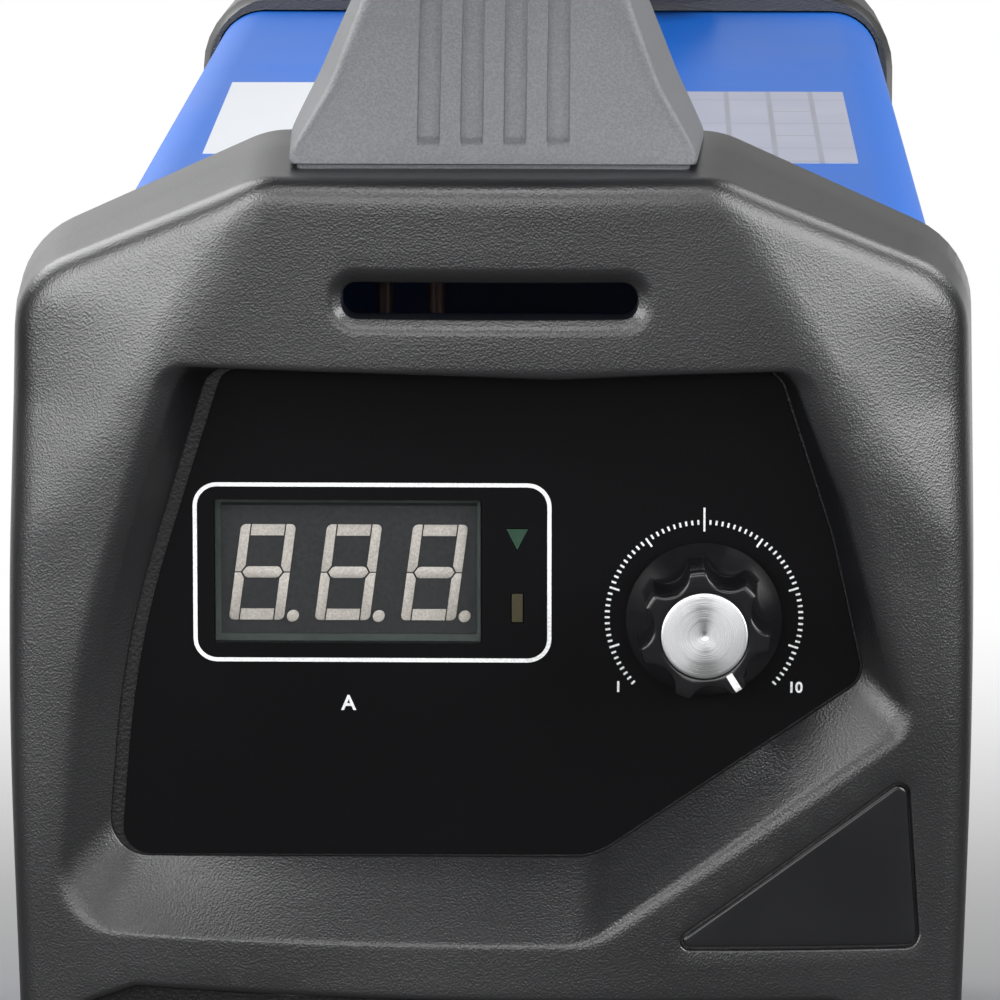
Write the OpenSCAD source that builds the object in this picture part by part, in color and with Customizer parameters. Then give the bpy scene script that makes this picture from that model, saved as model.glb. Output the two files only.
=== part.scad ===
// Portable inverter arc welder with a stick electrode output.
// X runs to the right as seen from the front, Y to the rear and Z up.
// The origin is on the floor, under the middle of the machine.
// Depths in the parts are measured from the foremost line of the front bezel's bowed face.

/* [Front bezel] */
// Widest half width of the front bezel, at its back edge
bezel_half_w = 72.3; // [71.8:0.1:73]
// Height of the bezel's flat top above the floor
bezel_top = 211.3; // [210.8:0.1:211.6]
// Height of the bezel's underside above the floor
bezel_bottom = 11; // [10.8:0.1:11.2]
// Depth of the bezel, from its front face to its back edge
bezel_depth = 44; // [43.5:0.1:44.5]
// Radius of the front face's bow, seen from above
bow_r = 240; // [235:1:250]
// Wall thickness of the plastic mouldings
wall = 3; // [2.8:0.1:3.2]

/* [Control panel] */
// Depth of the control panel behind the front face
panel_y = 12.5; // [12.3:0.1:12.8]
// Middle of the display and of its window, across
display_x = -20.8; // [-21.2:0.1:-20.4]
// Middle of the display and of its window, above the floor
display_z = 150; // [149.5:0.1:150.5]
// Width of the display window
window_w = 39.2; // [39:0.1:39.6]
// Height of the display window
window_h = 21.3; // [21:0.1:21.6]
// Height of one digit, a 0.56 inch display
digit_h = 14.2; // [13.8:0.1:14.4]
// Distance from one digit to the next
digit_pitch = 12.7; // [12.5:0.1:12.8]

/* [Knob] */
// Middle of the knob, across
knob_x = 31.3; // [31:0.1:31.6]
// Middle of the knob, above the floor
knob_z = 143.4; // [143:0.1:143.8]
// Diameter of the knob's skirt
skirt_d = 22.9; // [22.5:0.1:23.2]
// Diameter over the lobes of the knob's grip
grip_d = 19.6; // [19.2:0.1:20]
// Diameter of the turned aluminium cap on the knob
cap_d = 12.6; // [12.4:0.1:13]
// Height of the knob above the control panel
knob_h = 14.4; // [14:0.1:14.8]

/* [Housing] */
// Width of the sheet steel cover
housing_w = 126.2; // [125.8:0.1:126.4]
// How far the cover and the rear bezel sit to the right of the front bezel's middle
housing_shift = 3.2; // [3:0.1:3.3]
// Height of the cover's top above the floor
cover_top = 198; // [197.6:0.1:198.1]
// Outside radius of the cover's bent corners
cover_r = 9; // [9:0.1:9.6]
// Thickness of the cover's steel sheet
sheet = 1; // [0.9:0.1:1.1]
// Depth at which the rear bezel begins
rear_y = 346; // [345:0.5:347]
// Depth of the rear bezel
rear_depth = 35; // [34.5:0.5:35]
// Height of the rear bezel's top above the floor
rear_top = 202; // [201.8:0.1:202.4]

/* [Handle] */
// Height of the handle's top above the floor
handle_top = 257; // [256:0.5:258]
// Thickness of the grip, from top to underside
grip_t = 21; // [20:0.5:22]
// Width of the grip
grip_w = 34; // [33:0.5:35]
// Width of the handle's front foot where it stands on the bezel
foot_w = 59.6; // [59:0.1:60]

/* [Output sockets] */
// Distance from the machine's middle to each output socket
socket_x = 30; // [29.5:0.5:30.5]
// Height of the output sockets above the floor
socket_z = 54; // [53:0.5:55]
// Diameter of the socket's bore, for a 9 mm plug pin
socket_bore_d = 9.2; // [9.1:0.05:9.4]
// Depth of the socket's bore
socket_bore_l = 20; // [19:0.5:20]

/* [Rear fittings] */
// Size of the square cooling fan
fan_size = 92; // [92:1:92]
// Middle of the fan above the floor
fan_z = 74; // [73:0.5:75]
// Height of the switch and of the cable gland above the floor
fittings_z = 165; // [163:0.5:167]
// Bore of the cable gland
gland_bore_d = 9.4; // [9:0.1:10]
// Diameter of the earth stud
earth_d = 6; // [6:0.1:6]

/* [Feet] */
// Height of the rubber feet
foot_h = 12; // [12:0.1:12]
// Diameter of the rubber feet
foot_d = 20; // [18:0.5:22]

/* [Hidden] */
$fn = 64;

// Foremost and rearmost points, on the knob and on the cable gland, centre the machine on Y
label_t = 0.3;
nose_y = panel_y - label_t - knob_h - 0.2;
rear_wall_y = rear_y + rear_depth;
gland_l = 18;
tail_y = rear_wall_y + gland_l;
y_shift = -(nose_y + tail_y) / 2;

bezel_plastic = [0.24, 0.24, 0.26];
black_plastic = [0.07, 0.07, 0.08];
cover_blue = [0.10, 0.36, 0.85];
steel = [0.72, 0.73, 0.75];
brass = [0.80, 0.65, 0.30];
copper = [0.78, 0.45, 0.25];
board_green = [0.10, 0.35, 0.20];
aluminium = [0.80, 0.81, 0.83];

// ---------- shared shapes ----------

function unit(v) = v / norm(v);

// Arc of n steps that rounds the corner at c between p and q
function corner_arc(p, c, q, r, n) =
    let (u = unit(p - c), w = unit(q - c), half = acos(u * w) / 2)
    let (m = c + unit(u + w) * r / sin(half), s = c + u * r / tan(half) - m)
    let (turn = sign(cross(c - p, q - c)) * (180 - 2 * half), a = atan2(s[1], s[0]))
    [for (i = [0:n]) m + r * [cos(a + turn * i / n), sin(a + turn * i / n)]];

// Closed outline through corners [x, z, radius], each rounded in n steps
function rounded(c, n = 6) =
    let (k = len(c))
    [for (i = [0:k - 1])
        let (p = c[(i + k - 1) % k], m = c[i], q = c[(i + 1) % k])
        each corner_arc([p[0], p[1]], [m[0], m[1]], [q[0], q[1]], m[2], n)];

// The same outline with m more points along each straight edge, where its corners have n steps
function dense(o, m = 7, n = 6) =
    let (k = len(o))
    [for (i = [0:k - 1])
        each [for (j = [0:(i % (n + 1) == n ? m : 0)]) o[i] + (o[(i + 1) % k] - o[i]) * j / (m + 1)]];

// Clockwise outline moved inward by d along its own normals
function inset(o, d) =
    let (k = len(o))
    [for (i = [0:k - 1])
        let (t = unit(o[(i + 1) % k] - o[(i + k - 1) % k]))
        o[i] + d * [t[1], -t[0]]];

// Outline in X and Z set at the depth y
function at_depth(o, y) = [for (p = o) [p[0], y, p[1]]];

function middle(v) = [for (a = v) 1] * v / len(v);

// Solid through rings of points that match one to one, front ring first, with a point amid each end
module loft(rings) {
    n = len(rings[0]);
    m = len(rings);
    last = (m - 1) * n;
    sides = [for (k = [0:m - 2]) for (i = [0:n - 1])
        let (a = k * n + i, b = k * n + (i + 1) % n)
        each [[a, b, a + n], [b, b + n, a + n]]];
    ends = [for (i = [0:n - 1])
        let (j = (i + 1) % n)
        each [[j, i, m * n], [last + i, last + j, m * n + 1]]];
    polyhedron(
        points = concat([for (r = rings) each r], [middle(rings[0]), middle(rings[m - 1])]),
        faces = concat(sides, ends));
}

// Plate with its outline in X and Z, from depth y over the thickness t
module plate(y, t) {
    translate([0, y + t, 0])
        rotate([90, 0, 0])
            linear_extrude(t)
                children();
}

// Cylinder along Y from depth y over the length l
module rod_y(x, y, z, r, l) {
    translate([x, y, z])
        rotate([-90, 0, 0])
            cylinder(r = r, h = l);
}

// Six-sided nut along Y
module hex_y(x, y, z, flats, l) {
    translate([x, y, z])
        rotate([-90, 0, 0])
            cylinder(r = flats / 2 / cos(30), h = l, $fn = 6);
}

module rounded_rect(w, h, r) {
    polygon(rounded([[-w / 2, h / 2, r], [w / 2, h / 2, r], [w / 2, -h / 2, r], [-w / 2, -h / 2, r]]));
}

// Screw along Y: its head is at depth y, and dir is 1 where the shank runs to the rear
module screw_y(x, y, z, r, l, dir = 1) {
    head_t = r * 1.2;
    rod_y(x, dir > 0 ? y - head_t : y, z, r * 1.9, head_t);
    rod_y(x, dir > 0 ? y : y - l, z, r, l);
}

// Puts a part, drawn from the bezel's front face, in its place about the origin
module placed() {
    translate([0, y_shift, 0])
        children();
}

// ---------- front bezel ----------

draft = 1.3;
edge_r = 3.8;
shoulder_x = 33.5;
side_x = 71;
shoulder_z = 194.4;
widest_z = 132;
foot_x = 68.6;
bezel_outline = rounded([
    [shoulder_x, bezel_top, 14], [side_x, shoulder_z, 14], [bezel_half_w, widest_z, 900],
    [foot_x, bezel_bottom, 6], [-foot_x, bezel_bottom, 6], [-bezel_half_w, widest_z, 900],
    [-side_x, shoulder_z, 14], [-shoulder_x, bezel_top, 14]]);

// The outer thirds of the face fall back as flat facets: depth = base + slopes * [x, z]
facet_x = 0.495;
facet_z = 0.187;
facet_at = [33, bow_y(33), 209];

function bow_y(x) = x * x / (2 * bow_r);

function facet_y(x, z) = facet_at[1] + facet_x * (abs(x) - facet_at[0]) + facet_z * (z - facet_at[2]);

function face_y(x, z) = max(bow_y(x), facet_y(x, z));

// Ring inset by d from the front edge, set back from the face by back
function face_ring(o, d, back) =
    [for (p = inset(o, d)) [p[0], face_y(p[0], p[1]) + back, p[1]]];

// What lies in front of the two facets, moved back by the skin thickness t
module before_facets(t = 0) {
    turn = atan(facet_x);
    tip = -atan(facet_z * cos(turn));
    back = t / cos(turn) / cos(tip);
    for (side = [0, 1])
        mirror([side, 0, 0])
            translate([facet_at[0], facet_at[1] + back, facet_at[2]])
                rotate([tip, 0, turn])
                    translate([-400, -500, -400])
                        cube([800, 500, 800]);
}

// Children cut to the face, or to a skin of thickness t behind it
module bowed(t = 0) {
    difference() {
        intersection() {
            children();
            linear_extrude(300)
                polygon(concat([for (x = [-78:6:78]) [x, bow_y(x) + t]], [[90, 60], [-90, 60]]));
        }
        before_facets(t);
    }
}

// Space of a recess that narrows from the rim on the face to the floor's outline at depth y
module recess(rim, floor, y, end) {
    proud = 0.5;
    r = inset(dense(rim, 4), -proud * 0.8);
    f = dense(floor, 4);
    hull()
        loft([[for (p = r) [p[0], face_y(p[0], p[1]) - proud, p[1]]], at_depth(f, y)]);
    plate(y - 0.5, end - y + 0.5)
        polygon(floor);
}

module bezel_body() {
    o = dense(bezel_outline);
    hull()
        loft([
            face_ring(o, draft + edge_r, 0),
            face_ring(o, draft + edge_r * 0.5, edge_r * 0.14),
            face_ring(o, draft + edge_r * 0.14, edge_r * 0.5),
            face_ring(o, draft, edge_r),
            at_depth(o, bezel_depth)]);
}

// Corners of the recess round the control panel, where it meets the face
recess_rim = rounded([
    [47.2, 181.2, 5], [60.2, 126.2, 5], [15.5, 96.4, 12], [-63.3, 96.9, 9],
    [-59.3, 151, 60], [-46.8, 181.6, 5]]);
// Corners of the opening at the bottom of that recess
panel_opening = rounded([
    [42.4, 180.6, 4], [54.9, 134.6, 4], [15.4, 107, 10], [-56, 107, 5.5],
    [-54.4, 144, 30], [-41, 180.6, 4]]);
ledge_t = 1.5;

// Corners of the recess round the output sockets, and of its floor
lower_rim = rounded([
    [50, 87.4, 3], [61, 83, 5], [59, 21, 7], [-59, 21, 7], [-61.5, 85.3, 5], [-51.8, 89.1, 3]]);
lower_floor = rounded([
    [47.5, 84.6, 3], [58, 80.6, 4], [56, 24, 5], [-56, 24, 5], [-58.4, 82.6, 4], [-50.6, 86.2, 2]]);
lower_floor_y = 14;

slot_z = 191.5;
slot_w = 42;
slot_h = 5.2;

panel_screw_at = [[-36, 184.4], [36, 184.4], [-40, 100.6], [9, 100.6]];
lower_screw_at = [[-40, 91.6], [40, 91.2], [-40, 18.8], [40, 18.8]];

badge_x = 45;
badge_turn = asin(badge_x / bow_r);
badge_corners = [[29.2, 96.6, 1.6], [60.6, 119.4, 1.8], [62.6, 95.6, 1.6]];

module badge_shape(gap) {
    translate([-badge_x, 0])
        offset(delta = gap)
            polygon(rounded([badge_corners[1], badge_corners[2], badge_corners[0]], 4));
}

// Flat seat on the bowed face, square to the face at the badge's middle
module on_badge_seat() {
    translate([badge_x, bow_y(badge_x), 0])
        rotate([0, 0, badge_turn])
            children();
}

// Opening in a bezel's lip for the steel cover
module cover_opening(y, t) {
    half = housing_w / 2 + 0.35;
    top = cover_top + 0.35;
    low = bezel_bottom + wall + 0.05;
    r = cover_r + 0.35;
    plate(y, t)
        translate([housing_shift, 0])
            polygon(rounded([[-half, top, r], [half, top, r], [half, low, 1], [-half, low, 1]]));
}

bezel_screw_x = 51;
bezel_screw_z = 33;

// Bosses for the tray's screws, each on a rib from the bezel's side wall
module tray_bosses(y, l, rib_y, wall_left, wall_right) {
    for (w = [[-1, wall_left], [1, wall_right]]) {
        x = w[0] * bezel_screw_x + housing_shift;
        rod_y(x, y, bezel_screw_z, 3.4, l);
        translate([min(x, w[1]), rib_y, bezel_screw_z - 2])
            cube([abs(w[1] - x), 7, 4]);
    }
}

module front_shell() {
    lip_y = bezel_depth - wall;
    difference() {
        union() {
            difference() {
                bezel_body();
                bowed(wall)
                    plate(-6, lip_y + 6)
                        polygon(inset(bezel_outline, draft + wall));
            }
            intersection() {
                bezel_body();
                union() {
                    plate(0, panel_y)
                        polygon(rounded([[62, 187, 4], [62, 90, 4], [-65, 90, 4], [-65, 187, 4]]));
                    plate(0, lower_floor_y)
                        polygon(rounded([[63, 94.2, 3], [63, 13, 3], [-63, 13, 3], [-63, 94.2, 3]]));
                }
            }
        }
        recess(recess_rim, panel_opening, panel_y - ledge_t, panel_y + 3);
        recess(lower_rim, lower_floor, lower_floor_y - 1, lower_floor_y + 3);
        cover_opening(cover_front - 0.4, bezel_depth - cover_front + 1.4);
    }
}

module front_bezel() color(bezel_plastic) placed()
    difference() {
        union() {
            front_shell();
            tray_bosses(30, bezel_depth - 30, 30, -68.2, 68.2);
        }
        plate(-4, 12)
            translate([0, slot_z])
                rounded_rect(slot_w, slot_h, 2.2);
        plate(-4, 4.9)
            translate([0, slot_z - 0.9])
                rounded_rect(slot_w + 2.4, slot_h + 2.1, 3.2);
        on_badge_seat()
            plate(-6, 7.4)
                badge_shape(0.35);
        for (p = panel_screw_at)
            rod_y(p[0], panel_y - 5, p[1], 1.35, 6);
        for (p = lower_screw_at)
            rod_y(p[0], lower_floor_y - 5, p[1], 1.35, 6);
        for (s = [-1, 1])
            rod_y(s * bezel_screw_x + housing_shift, bezel_depth - 10, bezel_screw_z, 1.6, 12);
        for (x = handle_screw_x)
            translate([x, front_screw_y, bezel_top - 12])
                cylinder(r = 2.2, h = 20);
    }

module badge_plate() color(black_plastic) placed()
    on_badge_seat()
        plate(0.1, 1.2)
            badge_shape(0);

// ---------- control panel ----------

overlay_outline = rounded([
    [41.8, 179.9, 3.4], [54.2, 134.8, 3.4], [15.3, 107.8, 9], [-54, 107.8, 4],
    [-52.4, 144, 28], [-39, 179.9, 3]]);
light_x = 4;
light_z = [155, 144.7];
pot_hole_r = 3.75;

// Down-pointing triangle and upright bar of the two indicator lights
module light_shapes(gap) {
    translate([light_x, light_z[0]])
        polygon([[-1.6 - gap, 1.4 + gap], [1.6 + gap, 1.4 + gap], [0, -1.7 - 2 * gap]]);
    translate([light_x, light_z[1]])
        square([1.6 + 2 * gap, 4.2 + 2 * gap], center = true);
}

module control_panel() color(bezel_plastic) placed()
    difference() {
        plate(panel_y, 2.5)
            difference() {
                polygon(rounded([[54, 186.4, 3], [60.5, 168, 3], [60.5, 97.6, 3],
                    [-63, 97.6, 3], [-63, 163, 3], [-54, 186.4, 3]]));
                translate([display_x, display_z])
                    square([window_w, window_h], center = true);
                light_shapes(0.15);
            }
        rod_y(knob_x, panel_y - 1, knob_z, pot_hole_r, 6);
        for (p = panel_screw_at)
            rod_y(p[0], panel_y - 1, p[1], 1.5, 6);
    }

module panel_overlay() color(black_plastic) placed()
    difference() {
        plate(panel_y - label_t, label_t)
            difference() {
                polygon(overlay_outline);
                translate([display_x, display_z])
                    square([window_w, window_h], center = true);
                light_shapes(0.15);
            }
        rod_y(knob_x, panel_y - 1, knob_z, pot_hole_r, 3);
    }

module panel_screws() color(steel) placed()
    for (p = panel_screw_at)
        screw_y(p[0], panel_y + 2.5, p[1], 1.25, 7, -1);

window_y = panel_y - label_t + 0.1;
module_y = panel_y + 1.6;

module display_window() color([0.25, 0.26, 0.27, 0.5]) placed()
    plate(window_y, 1.2)
        translate([display_x, display_z])
            square([window_w - 0.3, window_h - 0.3], center = true);

module_w = 3 * digit_pitch - 0.4;
module_h = 19;
module_t = 8;
digit_t = 0.12;

module display_module() color([0.30, 0.30, 0.31]) placed() {
    plate(module_y, module_t)
        translate([display_x, display_z])
            square([module_w, module_h], center = true);
    for (i = [0:5])
        for (s = [-1, 1])
            translate([display_x + (i - 2.5) * 2.54 - 0.25, module_y + module_t, display_z + s * 7.62 - 0.25])
                cube([0.5, 3, 0.5]);
}

// One lit-up stroke, along X from 0 to l, with pointed ends
module stroke(l, w) {
    polygon([[w / 2, 0], [w, w / 2], [l - w, w / 2], [l - w / 2, 0], [l - w, -w / 2], [w, -w / 2]]);
}

digit_w = 6.9;
digit_slant = 8.4;
stroke_w = 1.55;

// Seven strokes of one digit about its middle
module digit() {
    h = digit_h - stroke_w;
    lean = tan(digit_slant);
    leg = h / 2 / cos(digit_slant);
    for (i = [-1, 0, 1])
        translate([i * lean * h / 2 - digit_w / 2, i * h / 2])
            stroke(digit_w, stroke_w);
    for (s = [-1, 1])
        for (i = [-1, 0])
            translate([s * digit_w / 2 + i * lean * h / 2, i * h / 2])
                rotate(90 - digit_slant)
                    stroke(leg, stroke_w);
    translate([digit_w / 2 - lean * digit_h / 2 + 2.2, -h / 2])
        circle(d = 1.7, $fn = 32);
}

module digit_segments() color([0.85, 0.80, 0.76]) placed()
    plate(module_y - digit_t, digit_t)
        for (i = [-1, 0, 1])
            translate([display_x + i * digit_pitch, display_z])
                digit();

board_y = module_y + module_t + 0.1;

module indicator_lights() color([0.25, 0.45, 0.30]) placed()
    plate(panel_y - label_t + 0.1, board_y - panel_y + label_t - 0.1)
        light_shapes(0);

module control_board() color(board_green) placed()
    difference() {
        plate(board_y, 1.6)
            translate([-3, 148])
                rounded_rect(96, 56, 2);
        rod_y(knob_x, board_y - 1, knob_z, 8.5, 4);
        for (i = [0:5])
            for (s = [-1, 1])
                translate([display_x + (i - 2.5) * 2.54 - 0.4, board_y - 1, display_z + s * 7.62 - 0.4])
                    cube([0.8, 4, 0.8]);
    }

bush_front = panel_y - label_t - 2.6;
pot_back = panel_y + 2.5 + 9;
shaft_r = 3;
bush_bore_r = 3.05;

module potentiometer() color([0.55, 0.56, 0.58]) placed()
    difference() {
        union() {
            rod_y(knob_x, panel_y + 2.5, knob_z, 8, 9);
            rod_y(knob_x, bush_front, knob_z, 3.5, panel_y + 3 - bush_front);
            translate([knob_x - 6, panel_y + 5.5, knob_z - 13])
                cube([12, 1.6, 6]);
        }
        rod_y(knob_x, bush_front - 1, knob_z, bush_bore_r, pot_back - bush_front - 1);
    }

module pot_nut() color(steel) placed()
    difference() {
        hex_y(knob_x, panel_y - label_t - 2.2, knob_z, 10, 2.2);
        rod_y(knob_x, panel_y - 4, knob_z, 3.6, 5);
    }

knob_back = panel_y - label_t - 0.4;
knob_front = nose_y + 0.2;
grip_back = knob_front + 9.8;
cap_t = 1;

module pot_shaft() color(steel) placed()
    rod_y(knob_x, knob_front + 3, knob_z, shaft_r, pot_back - knob_front - 5);

// ---------- knob ----------

lobes = 7;
pointer_turn = 148;

module knob() color(black_plastic) placed()
    difference() {
        union() {
            rod_y(knob_x, grip_back + 0.8, knob_z, skirt_d / 2, knob_back - grip_back - 0.8);
            rod_y(knob_x, grip_back, knob_z, skirt_d / 2 - 0.9, 1);
            difference() {
                rod_y(knob_x, knob_front, knob_z, grip_d / 2, grip_back - knob_front + 0.5);
                for (i = [0:lobes - 1]) {
                    a = 90 - pointer_turn + (i + 0.5) * 360 / lobes;
                    flute_r = grip_d / 2 + 1.5;
                    rod_y(knob_x + flute_r * cos(a), knob_front - 1, knob_z + flute_r * sin(a), 3.6, 10.3);
                }
            }
        }
        rod_y(knob_x, knob_front - 1, knob_z, cap_d / 2 + 0.05, 1 + cap_t);
        rod_y(knob_x, knob_front + 2.8, knob_z, shaft_r + 0.02, 20);
        rod_y(knob_x, knob_back - 3.2, knob_z, 7, 5);
    }

module knob_cap() color(aluminium) placed()
    difference() {
        rod_y(knob_x, nose_y, knob_z, cap_d / 2, cap_t + 0.2);
        rod_y(knob_x, nose_y - 0.5, knob_z, 0.4, 0.7);
    }

// ---------- output sockets ----------

socket_plate_t = 3;
socket_flange_y = lower_floor_y - 5;
socket_body_r = 11;
socket_bore_y = socket_flange_y + 3;
contact_r = 6.9;

module socket_panel() color(black_plastic) placed()
    difference() {
        plate(lower_floor_y, socket_plate_t)
            polygon(rounded([[61, 93.6, 3], [61, 15.8, 3], [-61, 15.8, 3], [-61, 93.6, 3]]));
        for (s = [-1, 1])
            rod_y(s * socket_x, lower_floor_y - 1, socket_z, socket_body_r + 0.1, 6);
        for (i = [0:5])
            plate(lower_floor_y - 1, 6)
                translate([0, 34 + i * 8])
                    rounded_rect(18, 3, 1.4);
        for (p = lower_screw_at)
            rod_y(p[0], lower_floor_y - 1, p[1], 1.5, 6);
    }

module socket_panel_screws() color(steel) placed()
    for (p = lower_screw_at)
        screw_y(p[0], lower_floor_y + socket_plate_t, p[1], 1.25, 7, -1);

// Insulating body of one output socket, with its round flange in front
module socket_body(x) {
    difference() {
        union() {
            rod_y(x, socket_flange_y, socket_z, 15, 5);
            rod_y(x, lower_floor_y, socket_z, socket_body_r, 18);
            hex_y(x, lower_floor_y + socket_plate_t + 0.05, socket_z, 27, 6);
        }
        rod_y(x, socket_flange_y - 1, socket_z, 8, 4);
        rod_y(x, socket_flange_y + 2, socket_z, contact_r + 0.05, 40);
    }
}

module socket_plus() color(black_plastic) placed()
    socket_body(-socket_x);

module socket_minus() color(black_plastic) placed()
    socket_body(socket_x);

stud_r = 4;
stud_l = 16;
contact_back = lower_floor_y + 21;

// Brass contact with a bore for the plug's pin and a threaded stud behind
module contact(x) {
    difference() {
        union() {
            rod_y(x, socket_bore_y, socket_z, contact_r, contact_back - socket_bore_y);
            rod_y(x, contact_back - 1, socket_z, stud_r, stud_l + 1);
        }
        rod_y(x, socket_bore_y - 1, socket_z, socket_bore_d / 2, socket_bore_l + 1);
        translate([x - 1.5, socket_bore_y - 1, socket_z])
            cube([3, 4, 6]);
    }
}

module contact_plus() color(brass) placed()
    contact(-socket_x);

module contact_minus() color(brass) placed()
    contact(socket_x);

bar_y = contact_back + 4.5;
bar_t = 2;

module socket_nuts() color(brass) placed()
    for (s = [-1, 1])
        for (y = [contact_back, bar_y + bar_t])
            difference() {
                hex_y(s * socket_x, y, socket_z, 13, 4.5);
                rod_y(s * socket_x, y - 1, socket_z, stud_r + 0.05, 7);
            }

module polarity_marks() color([0.9, 0.9, 0.9]) placed() {
    plate(lower_floor_y - 0.4, 0.4) {
        translate([-socket_x, socket_z + 24])
            square([7, 1.6], center = true);
        translate([-socket_x, socket_z + 24])
            square([1.6, 7], center = true);
        translate([socket_x, socket_z + 24])
            square([7, 1.6], center = true);
    }
}

// ---------- housing ----------

cover_front = bezel_depth - 6;
cover_back = rear_y + 6;
cover_low = bezel_bottom + wall + 0.4;
tray_front = bezel_depth + 0.2;
tray_back = rear_y - 0.2;
tray_t = 1.2;
flange_top = 40;
vent_n = 15;
vent_h = 58;
cover_screw_y = [60, 195, 330];
cover_screw_z = 22;

module cover_section(grow) {
    half = housing_w / 2 + grow;
    top = cover_top + grow;
    polygon(rounded([[-half, top, cover_r + grow], [half, top, cover_r + grow],
        [half, cover_low, 0.01], [-half, cover_low, 0.01]], 8));
}

// Upright slot with round ends
module vent() {
    square([3.4, vent_h], center = true);
    for (s = [-1, 1])
        translate([0, s * vent_h / 2])
            circle(d = 3.4);
}

module top_cover() color(cover_blue) placed()
    difference() {
        plate(cover_front, cover_back - cover_front)
            translate([housing_shift, 0])
                difference() {
                    cover_section(0);
                    translate([0, -1])
                        cover_section(-sheet);
                    translate([0, cover_low])
                        square([housing_w - 2 * sheet, 20], center = true);
                }
        for (i = [0:vent_n - 1])
            for (z = [76, 148])
                translate([housing_shift - housing_w, 118 + i * 12, z])
                    rotate([90, 0, 90])
                        linear_extrude(2 * housing_w)
                            vent();
        for (y = cover_screw_y)
            translate([housing_shift - housing_w, y, cover_screw_z])
                rotate([0, 90, 0])
                    cylinder(r = 1.9, h = 2 * housing_w);
    }

foot_at = [for (x = [-41, 47]) for (y = [62, 328]) [x, y]];

module base_tray() color([0.20, 0.20, 0.22]) placed() {
    half = housing_w / 2 - sheet - 0.1;
    len_y = tray_back - tray_front;
    difference() {
        union() {
            translate([housing_shift - half, tray_front, foot_h])
                cube([2 * half, len_y, tray_t]);
            for (x = [-half, half - tray_t])
                translate([housing_shift + x, tray_front, foot_h])
                    cube([tray_t, len_y, 18]);
            for (y = [tray_front, tray_back - tray_t])
                translate([housing_shift - half + 3, y, foot_h])
                    cube([2 * half - 6, tray_t, flange_top - foot_h]);
        }
        for (p = foot_at)
            translate([p[0], p[1], foot_h - 1])
                cylinder(r = 2.1, h = 4);
        for (y = cover_screw_y)
            translate([housing_shift - housing_w, y, cover_screw_z])
                rotate([0, 90, 0])
                    cylinder(r = 1.6, h = 2 * housing_w);
        for (s = [-1, 1]) {
            rod_y(s * bezel_screw_x + housing_shift, tray_front - 1, bezel_screw_z, 1.7, 4);
            rod_y(s * bezel_screw_x + housing_shift, tray_back - 3, bezel_screw_z, 1.7, 4);
        }
        translate([housing_shift, tray_back - 10, foot_h + tray_t])
            translate([-fan_size / 2 + 8, 0, 14])
                cube([fan_size - 16, 20, 20]);
    }
}

module cover_screws() color(steel) placed()
    for (s = [-1, 1])
        for (y = cover_screw_y)
            translate([housing_shift + s * housing_w / 2, y, cover_screw_z])
                rotate([0, s * 90, 0]) {
                    cylinder(r = 3.4, h = 1.9);
                    translate([0, 0, -7])
                        cylinder(r = 1.5, h = 7.5);
                }

module bezel_screws() color(steel) placed()
    for (s = [-1, 1]) {
        screw_y(s * bezel_screw_x + housing_shift, tray_front + tray_t, bezel_screw_z, 1.5, 9, -1);
        screw_y(s * bezel_screw_x + housing_shift, tray_back - tray_t, bezel_screw_z, 1.5, 9);
    }

module feet() color([0.06, 0.06, 0.06]) placed()
    for (p = foot_at)
        translate([p[0], p[1], 0])
            difference() {
                union() {
                    cylinder(r = foot_d / 2 - 1.2, h = 3);
                    translate([0, 0, 2])
                        cylinder(r = foot_d / 2, h = foot_h - 2);
                }
                translate([0, 0, -1])
                    cylinder(r = 5, h = 7.5);
                cylinder(r = 2.3, h = foot_h + 1);
            }

module foot_screws() color(steel) placed()
    for (p = foot_at)
        translate([p[0], p[1], 0]) {
            translate([0, 0, 3.7])
                cylinder(r = 4, h = 2.8);
            translate([0, 0, 6])
                cylinder(r = 2, h = 12);
            translate([0, 0, foot_h + tray_t])
                cylinder(r = 4, h = 3.2, $fn = 6);
        }

// Two paper labels on the cover's top
module cover_labels() color([0.93, 0.94, 0.96]) placed() {
    translate([-48.6, 122, cover_top])
        rotate([0, 0, 0.7])
            cube([42, 101.5, 0.15]);
    translate([-2.5, 111.3, cover_top])
        cube([58.6, 99.5, 0.15]);
}

// ---------- rear bezel and its fittings ----------

rear_half = 66;
rear_r = 14.8;
rear_wall = 3;
grille_r = 41;
grille_rings = 6;
switch_x = housing_shift - 26;
gland_x = housing_shift + 28;
earth_x = housing_shift + 28;
earth_z = 138;
switch_hole = [21.6, 27.6];
fan_hole = 82.5;
fan_t = 25;

function rear_outline(d) =
    let (h = rear_half - d, t = rear_top - d, b = bezel_bottom + d, r = rear_r - d)
    rounded([[h, t, r], [h, b, r / 2], [-h, b, r / 2], [-h, t, r]], 8);

module rear_shell() {
    difference() {
        translate([housing_shift, 0, 0])
            difference() {
                hull()
                    loft([
                        at_depth(rear_outline(1.2), rear_y),
                        at_depth(rear_outline(0), rear_y + 3),
                        at_depth(rear_outline(0.4), rear_wall_y - 4),
                        at_depth(rear_outline(1.6), rear_wall_y - 1.2),
                        at_depth(rear_outline(3), rear_wall_y)]);
                plate(rear_y + wall, rear_depth - wall - rear_wall)
                    polygon(rear_outline(wall + 0.4));
            }
        cover_opening(rear_y - 1, 7.5);
    }
}

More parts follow.
